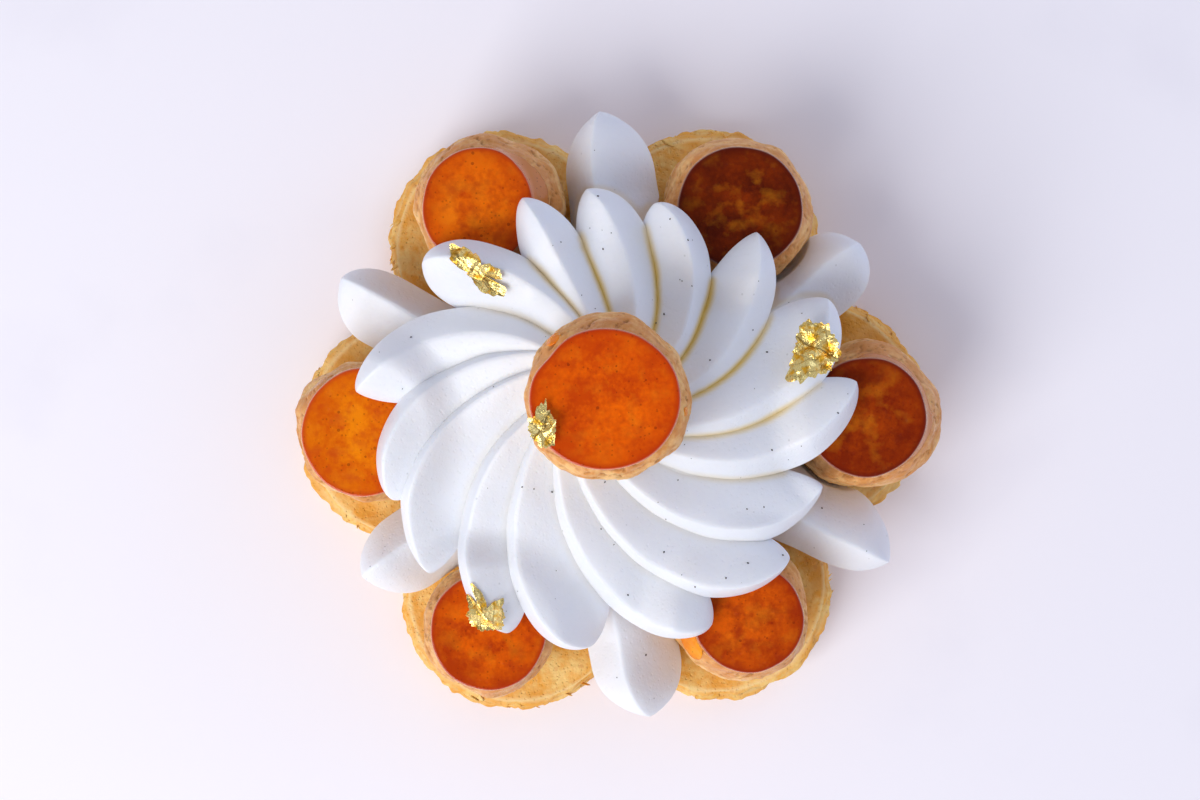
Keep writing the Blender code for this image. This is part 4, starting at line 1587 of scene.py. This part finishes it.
@dataclass
class CreamRelief:
    """The cream seen from above, as heights on a square grid of cells."""

    half_width: float = 0.1000
    cell: float = 0.0004
    # Painted shade in the creases between petals, strongest on the side away from the light
    crease_begins: float = 0.00010
    crease_full: float = 0.00060
    broad_full: float = 0.0030
    shaded_side: float = 52.0
    least_shade: float = 0.12
    near_reach: float = 0.036
    far_share: float = 0.30
    broad_strength: float = 0.10
    heights: np.ndarray = field(init=False)
    soft: np.ndarray = field(init=False)
    hollows: np.ndarray = field(init=False)

    def __post_init__(self) -> None:
        """Starts with bare cells."""
        side = round(2 * self.half_width / self.cell)
        self.heights = np.zeros((side, side))

    def cells(self, points: np.ndarray) -> tuple[np.ndarray, np.ndarray]:
        """Row and column of the cell under each point.

        Args:
            points: Points, with their coordinates in the last axis.

        Returns:
            Row and column numbers.
        """
        index = ((points[..., :2] + self.half_width) / self.cell).astype(int)
        index = np.clip(index, 0, len(self.heights) - 1)
        return index[..., 0], index[..., 1]

    def add(self, points: np.ndarray) -> None:
        """Raises the cells under a set of points to their heights."""
        np.maximum.at(self.heights, self.cells(points), points[..., 2])

    def blurred(self, heights: np.ndarray, reach: int, rounds: int) -> np.ndarray:
        """Mean over a square of cells, taken several times.

        Args:
            heights: The grid.
            reach: Half side of the square in cells.
            rounds: How often the mean is taken.

        Returns:
            The blurred grid.
        """
        steps = range(-reach, reach + 1)
        for axis in (0, 1) * rounds:
            heights = sum(np.roll(heights, step, axis=axis) for step in steps) / len(steps)
        return heights

    def settle(self) -> None:
        """Finds the painted shade, and a softened copy of the heights for what lies on the cream.

        The painted shade of a cell is the blurred height less its own, eased from 0 to 1: a narrow
        part for the creases between petals, and a faint broad one. Both are painted stronger on
        the side of the cake that faces away from the light.
        """
        self.soft = self.blurred(self.heights, 1, 2)
        depth = self.blurred(self.heights, 3, 2) - self.heights
        crease = smooth_step((depth - self.crease_begins) / (self.crease_full - self.crease_begins))
        broad = smooth_step((self.blurred(self.heights, 5, 3) - self.heights) / self.broad_full)
        middle = (np.arange(len(self.heights)) + 0.5) * self.cell - self.half_width
        x, y = np.meshgrid(middle, middle, indexing="ij")
        facing = np.cos(np.arctan2(y, x) - math.radians(self.shaded_side))
        strength = self.least_shade + (1 - self.least_shade) * smooth_step((facing + 0.2) / 1.1)
        near = 1 - smooth_step((np.hypot(x, y) - self.near_reach) / 0.024)
        # Painted shade: darker, warmer creases, stronger near the middle and on the side away from the
        # light
        self.hollows = self.blurred(crease, 1, 1) * (self.far_share + (1 - self.far_share) * near)
        self.hollows = (self.hollows + self.broad_strength * broad * near) * strength

    def read(self, grid: np.ndarray, points: np.ndarray) -> np.ndarray:
        """Values of a grid at points, weighed between the four cell middles round each.

        Args:
            grid: The grid to read.
            points: Points, with their coordinates in the last axis.

        Returns:
            One value for each point.
        """
        place = np.clip((points[..., :2] + self.half_width) / self.cell - 0.5, 0, len(grid) - 1.001)
        row, column = np.moveaxis(place.astype(int), -1, 0)
        s, t = np.moveaxis(place - place.astype(int), -1, 0)
        near = grid[row, column] * (1 - t) + grid[row, column + 1] * t
        far = grid[row + 1, column] * (1 - t) + grid[row + 1, column + 1] * t
        return near * (1 - s) + far * s

    def hollow_at(self, points: np.ndarray) -> np.ndarray:
        """How much shade is painted at each point for the creases, from 0 to 1."""
        return np.clip(self.read(self.hollows, points), 0, 1)

    def height_at(self, points: np.ndarray) -> np.ndarray:
        """Height of the cream under each point."""
        return self.read(self.soft, points)

    def normals_at(self, points: np.ndarray) -> np.ndarray:
        """Unit normals of the cream under each point, from the slopes of the blurred heights.

        Args:
            points: One row of three coordinates for each point.

        Returns:
            Unit normals, one row each.
        """
        slope_x, slope_y = np.gradient(self.soft, self.cell)
        index = self.cells(points)
        raw = np.stack([-slope_x[index], -slope_y[index], np.ones(len(index[0]))], axis=-1)
        return raw / np.linalg.norm(raw, axis=-1, keepdims=True)


@dataclass
class Cream:
    """All the piped cream: mound, rosette petals and side petals."""

    mound_around: int = 360
    mound_rows: int = 100
    mound_section: tuple[tuple[float, float], ...] = (
        (0.0444, BUN_FOOT),
        (0.0444, 0.0515),
        (0.0380, 0.0548),
        (0.0280, 0.0572),
        (0.0165, 0.0605),
    )
    relief: CreamRelief = field(default_factory=CreamRelief)
    rosette: list[CreamPetal] = field(init=False)
    side: list[CreamPetal] = field(init=False)

    def __post_init__(self) -> None:
        """Makes the petals, and the relief that they give."""
        self.rosette = [CreamPetal(p, ROSETTE_STROKE, 10 * k) for k, p in enumerate(ROSETTE_PETALS, 1)]
        self.side = [CreamPetal(p, SIDE_STROKE, 500 + 10 * k) for k, p in enumerate(SIDE_PETALS, 1)]
        for petal in (*self.rosette, *self.side):
            self.relief.add(petal.top(320, 200))
        self.relief.settle()

    def add_mound(self, finish: bpy.types.Material) -> bpy.types.Object:
        """Adds the mound under the petals: a turned section, with soft waves up its side.

        Args:
            finish: The cream's material.

        Returns:
            The new piece.
        """
        radii, levels = np.array(self.mound_section).T
        corners = np.arange(len(radii))
        share = np.linspace(0, corners[-1], self.mound_rows)
        reach, level = (np.interp(share, corners, part)[:, None] for part in (radii, levels))
        points = polar(reach, full_circle(self.mound_around), level)
        sides = smooth_step((points[..., 2:] - BUN_FOOT) / 0.004)
        points[..., :2] *= 1 - 0.02 * sides * (0.5 + 0.5 * lattice_noise(points, 0.011, 3)[..., None])
        points += RING_AXIS
        poles = (np.array([*RING_AXIS[:2], BUN_FOOT]), None)
        # Painted shade where the mound lies in the creases between petals
        hollow = self.relief.hollow_at(points)
        return add_skin("cream_mound", points, finish, Slot.CREAM, "cream_rosette", poles, hollow=hollow)

    def build(self, finish: bpy.types.Material) -> None:
        """Adds the mound and all the petals.

        Args:
            finish: The cream's material.
        """
        self.add_mound(finish)
        for number, petal in enumerate(self.rosette, 1):
            petal.build(f"rosette_petal_{number}", self.relief, finish, "cream_rosette")
        for number, petal in enumerate(self.side, 1):
            petal.build(f"side_petal_{number}", self.relief, finish, f"cream_petal_{number}")


def seen_places(pixels: np.ndarray, level_at: Callable[[np.ndarray], np.ndarray]) -> np.ndarray:
    """Places on a surface that the camera sees at some pixels of its picture.

    The ray through a pixel is followed to the height that the surface has there, in four rounds.

    Args:
        pixels: Two coordinates in the last axis, down from the picture's upper left.
        level_at: Gives the surface's height at level places.

    Returns:
        The places, with three coordinates in the last axis.
    """
    level = np.full(pixels.shape[:-1], FIRST_LEVEL)
    for _ in range(4):
        scale = ((CAMERA_PLACE[2] - level) / FOCAL_PIXELS)[..., None]
        flat = np.array(CAMERA_PLACE[:2]) + (pixels - PICTURE_MIDDLE) * [1, -1] * scale
        level = level_at(flat)
    return np.concatenate([flat, level[..., None]], axis=-1)


@dataclass
class VanillaSeeds:
    """Vanilla seeds on the cream: the large ones where they show, and fine ones scattered."""

    relief: CreamRelief
    seen: tuple[tuple[float, float], ...] = (
        (598, 196), (561, 242), (603, 249), (670, 219), (688, 240), (682, 281), (692, 286),
        (656, 323), (664, 314), (753, 330), (710, 360), (767, 352), (411, 337), (447, 377),
        (605, 482), (678, 480), (764, 507), (747, 509), (601, 529), (664, 552), (748, 563),
        (726, 578), (783, 555), (628, 595), (695, 587), (646, 655), (522, 487), (534, 489),
        (552, 492), (822, 508), (838, 413), (772, 450),
    )  # fmt: skip
    scattered: int = 60
    long: tuple[float, float] = (0.00022, 0.00036)
    fine: tuple[float, float] = (0.00010, 0.00020)
    lowest: float = 0.03
    half_width: float = 0.085

    def places(self) -> np.ndarray:
        """Places on the cream, the seen ones first.

        The others are drawn evenly over the cream, and those that miss it are dropped.

        Returns:
            One row of three coordinates for each seed.
        """
        seen = seen_places(np.array(self.seen, float), self.relief.height_at)
        draw = np.random.default_rng(12)
        flat = draw.uniform(-self.half_width, self.half_width, (self.scattered * 3, 2))
        flat = flat[self.relief.height_at(flat) > self.lowest][: self.scattered]
        return np.concatenate([seen, np.column_stack([flat, self.relief.height_at(flat)])])

    def build(self, finish: bpy.types.Material) -> bpy.types.Object:
        """Adds all the seeds as one piece.

        Args:
            finish: The seeds' material.

        Returns:
            The new piece.
        """
        places = self.places()
        draw = np.random.default_rng(31)
        count = len(places)
        large = np.arange(count) < len(self.seen)
        half = np.where(large, draw.uniform(*self.long, count), draw.uniform(*self.fine, count))
        sizes = np.stack([half, 0.7 * half, 0.5 * half], axis=-1)
        frames = axes_on(self.relief.normals_at(places), draw.uniform(0, math.pi, count), sizes)
        unit = small_ellipsoid(3, 7)
        return add_copies("vanilla_seeds", unit, places, frames, finish, Slot.CREAM)


@dataclass
class GoldLeaf:
    """A crumpled flake of gold leaf with a torn edge.

    middle and outline are pixels of the camera's picture. fold is the flake's main fold: a pixel
    on it, its heading in degrees and its slope, which is above 0 for a ridge.
    """

    number: int
    middle: tuple[float, float]
    outline: tuple[tuple[float, float], ...]
    fold: tuple[float, float, float, float]
    level_at: Callable[[np.ndarray], np.ndarray]
    rings: int = 44
    around: int = 150
    torn: float = 0.05
    waves: int = 4
    slope: float = 0.24
    pitches: tuple[float, float] = (0.0015, 0.0050)
    crease_width: float = 0.00018
    bend: float = 0.0007
    bend_cell: float = 0.0024
    fold_reach: float = 0.0024
    fold_width: float = 0.00045
    thickness: float = 0.00008
    lift: float = 0.00025
    sink: float = 0.0015
    sharp_from: float = 18.0

    def sheet(self) -> np.ndarray:
        """Places of rings that grow from the middle to the torn outline.

        The radius runs evenly by angle between the outline's corners, and small waves tear it.

        Returns:
            A row for each ring and a column for each turn.
        """
        corners = np.array(self.outline) - self.middle
        angles, radii = np.arctan2(corners[:, 1], corners[:, 0]), np.hypot(*corners.T)
        turn = np.linspace(-math.pi, math.pi, self.around, endpoint=False)
        reach = np.interp(turn, angles, radii, period=2 * math.pi)
        draw = np.random.default_rng(70 + self.number)
        for count in (9, 17, 29):
            reach *= 1 + self.torn * 3 / math.sqrt(count) * np.sin(count * turn + draw.uniform(0, 6.28))
        ring = np.linspace(0, 1, self.rings + 1)[1:, None] * reach
        pixels = polar(ring, turn, 0.0)[..., :2] + self.middle
        lowest = self.level_at(seen_places(np.array(self.middle), self.level_at)) - self.sink
        return seen_places(pixels, lambda flat: np.maximum(self.level_at(flat), lowest))

    def crumple(self, places: np.ndarray) -> tuple[np.ndarray, np.ndarray]:
        """Folds of the sheet.

        Triangle waves run in seeded directions over places that a noise bends, each as high as
        its pitch times its slope. The main fold rises or falls by its slope times the distance.

        Args:
            places: Places of the sheet.

        Returns:
            Heights, and how near each place lies to the bottom of a fold, as shade to paint there.
        """
        draw = np.random.default_rng(90 + self.number)
        level = places * [1, 1, 0]
        bends = [lattice_noise(level, self.bend_cell, seed) for seed in (1, 2)]
        flat = places[..., :2] + self.bend * np.stack(bends, axis=-1)
        # How much shade is painted at the bottoms of the folds
        height, crease = np.zeros(flat.shape[:-1]), np.zeros(flat.shape[:-1])
        for pitch in np.geomspace(*self.pitches, self.waves):
            heading, start = draw.uniform(0, math.pi), draw.uniform(0, 2)
            run = (flat[..., 0] * math.cos(heading) + flat[..., 1] * math.sin(heading)) / pitch + start
            wave = np.abs(run % 2 - 1)
            height += self.slope * pitch * wave
            crease = np.maximum(crease, 0.6 * smooth_step(1 - wave * pitch / self.crease_width))
        u, v, heading, slope = self.fold
        on_fold = seen_places(np.array([u, v]), self.level_at)[:2]
        across = np.array([-math.sin(math.radians(heading)), math.cos(math.radians(heading))])
        far = np.minimum(np.abs((flat - on_fold) @ across), self.fold_reach)
        height += slope * (self.fold_reach - far) if slope > 0 else -slope * far
        crease = np.maximum(crease, 0.8 * (slope < 0) * smooth_step(1 - far / self.fold_width))
        return height, crease

    def build(self, finish: bpy.types.Material) -> bpy.types.Object:
        """Adds the flake, upper and lower side in one closed skin.

        Args:
            finish: The gold's material.

        Returns:
            The new piece.
        """
        upper = self.sheet()
        height, crease = self.crumple(upper)
        upper[..., 2] += self.lift + height
        rings = np.concatenate([upper, upper[::-1] - [0, 0, self.thickness]])
        # Painted shade in the folds, for the upper and the lower side
        both = np.concatenate([crease, crease[::-1]])
        name, node = f"gold_flake_{self.number}", f"gold_leaf_{self.number}"
        flake = add_skin(name, rings, finish, Slot.GOLD, node, crease=both)
        flake.data.set_sharp_from_angle(angle=math.radians(self.sharp_from))
        return flake


@dataclass(frozen=True)
class Lamp:
    """A square lamp that is turned to the cake."""

    name: str
    place: tuple[float, float, float]
    side: float
    power: float
    colour: tuple[float, float, float]

    def build(self) -> None:
        """Adds the lamp."""
        light = bpy.data.lights.new(self.name, "AREA")
        light.size = self.side
        light.energy = self.power
        light.color = self.colour
        thing = add_object(self.name, light)
        thing.location = self.place
        x, y, z = self.place
        thing.rotation_euler = (math.atan2(math.hypot(x, y), z), 0.0, math.atan2(y, x) + math.pi / 2)


@dataclass
class Studio:
    """Pale floor, soft sky, a wide lamp from the lower left and a low cool one opposite it."""

    floor_side: float = 6.0
    sky: tuple[float, float, float] = (0.86, 0.88, 1.0)
    sky_strength: float = 0.57
    overhead: float = 0.15
    lamps: tuple[Lamp, ...] = (
        Lamp("key", (-0.76, -0.78, 1.05), 0.95, 16.5, (1.0, 1.0, 0.98)),
        Lamp("fill", (1.00, 0.65, 0.36), 1.0, 3.5, (0.55, 0.68, 1.0)),
    )

    def build(self) -> None:
        """Adds the floor, the lights and the camera."""
        self.add_floor()
        self.add_sky()
        for lamp in self.lamps:
            lamp.build()
        self.add_camera()
        bpy.context.scene.view_settings.view_transform = "Standard"

    def add_floor(self) -> None:
        """A level square under the cake, pale with faint cloudy stains."""
        half = self.floor_side / 2
        corners = [(-half, -half, 0), (half, -half, 0), (half, half, 0), (-half, half, 0)]
        mesh = bpy.data.meshes.new("studio_floor")
        mesh.from_pydata(corners, [], [(0, 1, 2, 3)])
        floor = add_object("studio_floor", mesh)
        material, work, shader = new_material("studio_floor")
        cloud = work.span(work.noise(work.place(), 14.0, 5.0), 0.56, 0.80, 0.0, 0.35)
        colour = work.blend(cloud, Colour.FLOOR, Colour.FLOOR_STAIN)
        work.feed_all(shader, {"Base Color": colour, "Roughness": 0.7, "Specular IOR Level": 0.15})
        mesh.materials.append(material)

    def add_sky(self) -> None:
        """Even light from all round, but for the darker patch overhead where the camera hangs."""
        world = bpy.data.worlds.new("studio_sky")
        world.use_nodes = True
        background = world.node_tree.nodes["Background"]
        background.inputs["Color"].default_value = (*self.sky, 1.0)
        work = Shading(world.node_tree)
        upward = work.add("ShaderNodeTexCoord").outputs["Generated"]
        height = work.add("ShaderNodeSeparateXYZ", {0: upward}).outputs["Z"]
        shaded = self.sky_strength * self.overhead
        work.feed(background.inputs["Strength"], work.span(height, 0.90, 0.97, self.sky_strength, shaded))
        bpy.context.scene.world = world

    def add_camera(self) -> None:
        """The camera straight above, at the photograph's frame."""
        camera = bpy.data.cameras.new("camera")
        camera.lens = CAMERA_LENS
        camera.sensor_width = SENSOR_WIDTH
        thing = add_object("camera", camera)
        thing.location = CAMERA_PLACE
        bpy.context.scene.camera = thing


def gold_leaves(cream: Cream) -> list[GoldLeaf]:
    """The four flakes, three on rosette petals and one on the top caramel.

    Args:
        cream: The piped cream, which gives the heights under three of them.

    Returns:
        The flakes.
    """
    top = TOP_BUN.foot + TOP_BUN.height + GAP + CARAMEL_THICKNESS

    def on_caramel(flat: np.ndarray) -> np.ndarray:
        """The level top of the caramel."""
        return np.full(flat.shape[:-1], top)

    on_cream = cream.relief.height_at
    strip = (
        (448, 244), (461, 248), (473, 252), (488, 264), (481, 267), (484, 275), (497, 280), (503, 280),
        (506, 288), (502, 296), (483, 293), (480, 289), (473, 279), (467, 272), (452, 260), (449, 252),
    )  # fmt: skip
    fan = (
        (799, 324), (808, 322), (825, 325), (832, 334), (835, 342), (840, 353), (835, 361), (827, 371),
        (818, 376), (808, 376), (799, 384), (787, 381), (788, 368), (793, 353), (796, 340), (797, 332),
    )  # fmt: skip
    bent = (
        (468, 581), (471, 582), (475, 601), (480, 607), (487, 609), (497, 600), (503, 599), (503, 610),
        (500, 630), (491, 629), (473, 625), (470, 623), (469, 608), (468, 594),
    )  # fmt: skip
    oval = (
        (546, 394), (541, 403), (536, 412), (534, 418), (529, 418), (529, 426), (534, 439), (539, 445),
        (550, 448), (553, 445), (555, 431), (553, 416), (547, 410), (544, 405),
    )  # fmt: skip
    return [
        GoldLeaf(1, (477, 272), strip, (490, 284, -40.0, -0.25), on_cream, slope=0.17),
        GoldLeaf(2, (813, 350), fan, (815, 347, -24.0, -0.45), on_cream),
        GoldLeaf(3, (486, 617), bent, (484, 617, -12.0, 0.75), on_cream, waves=2, slope=0.14),
        GoldLeaf(4, (543, 427), oval, (541, 428, 60.0, -0.4), on_caramel),
    ]


def main() -> None:
    """Loads the solids, and builds the dressed cake over them and the studio."""
    logging.basicConfig(level=logging.INFO, format="%(name)s: %(message)s")
    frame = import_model()
    LOG.info("%d solids", len(frame["nodes"]))

    effects = SharedEffects()
    PuffPastry().build(PastryFinish().build(effects))
    choux = ChouxFinish().build(effects)
    for bun in (*RING_BUNS, TOP_BUN):
        ChouxBun(bun).build(choux)
        CaramelDisc(bun).build(CARAMEL_FINISHES[bun.name].build(effects))
    CaramelDrips().build(CARAMEL_FINISHES["drip"].build(effects))
    cream = Cream()
    cream.build(CreamFinish().build(effects))
    VanillaSeeds(cream.relief).build(SeedFinish().build())
    gold = GoldFinish().build()
    for leaf in gold_leaves(cream):
        leaf.build(gold)
    Studio().build()


if __name__ == "__main__":
    main()
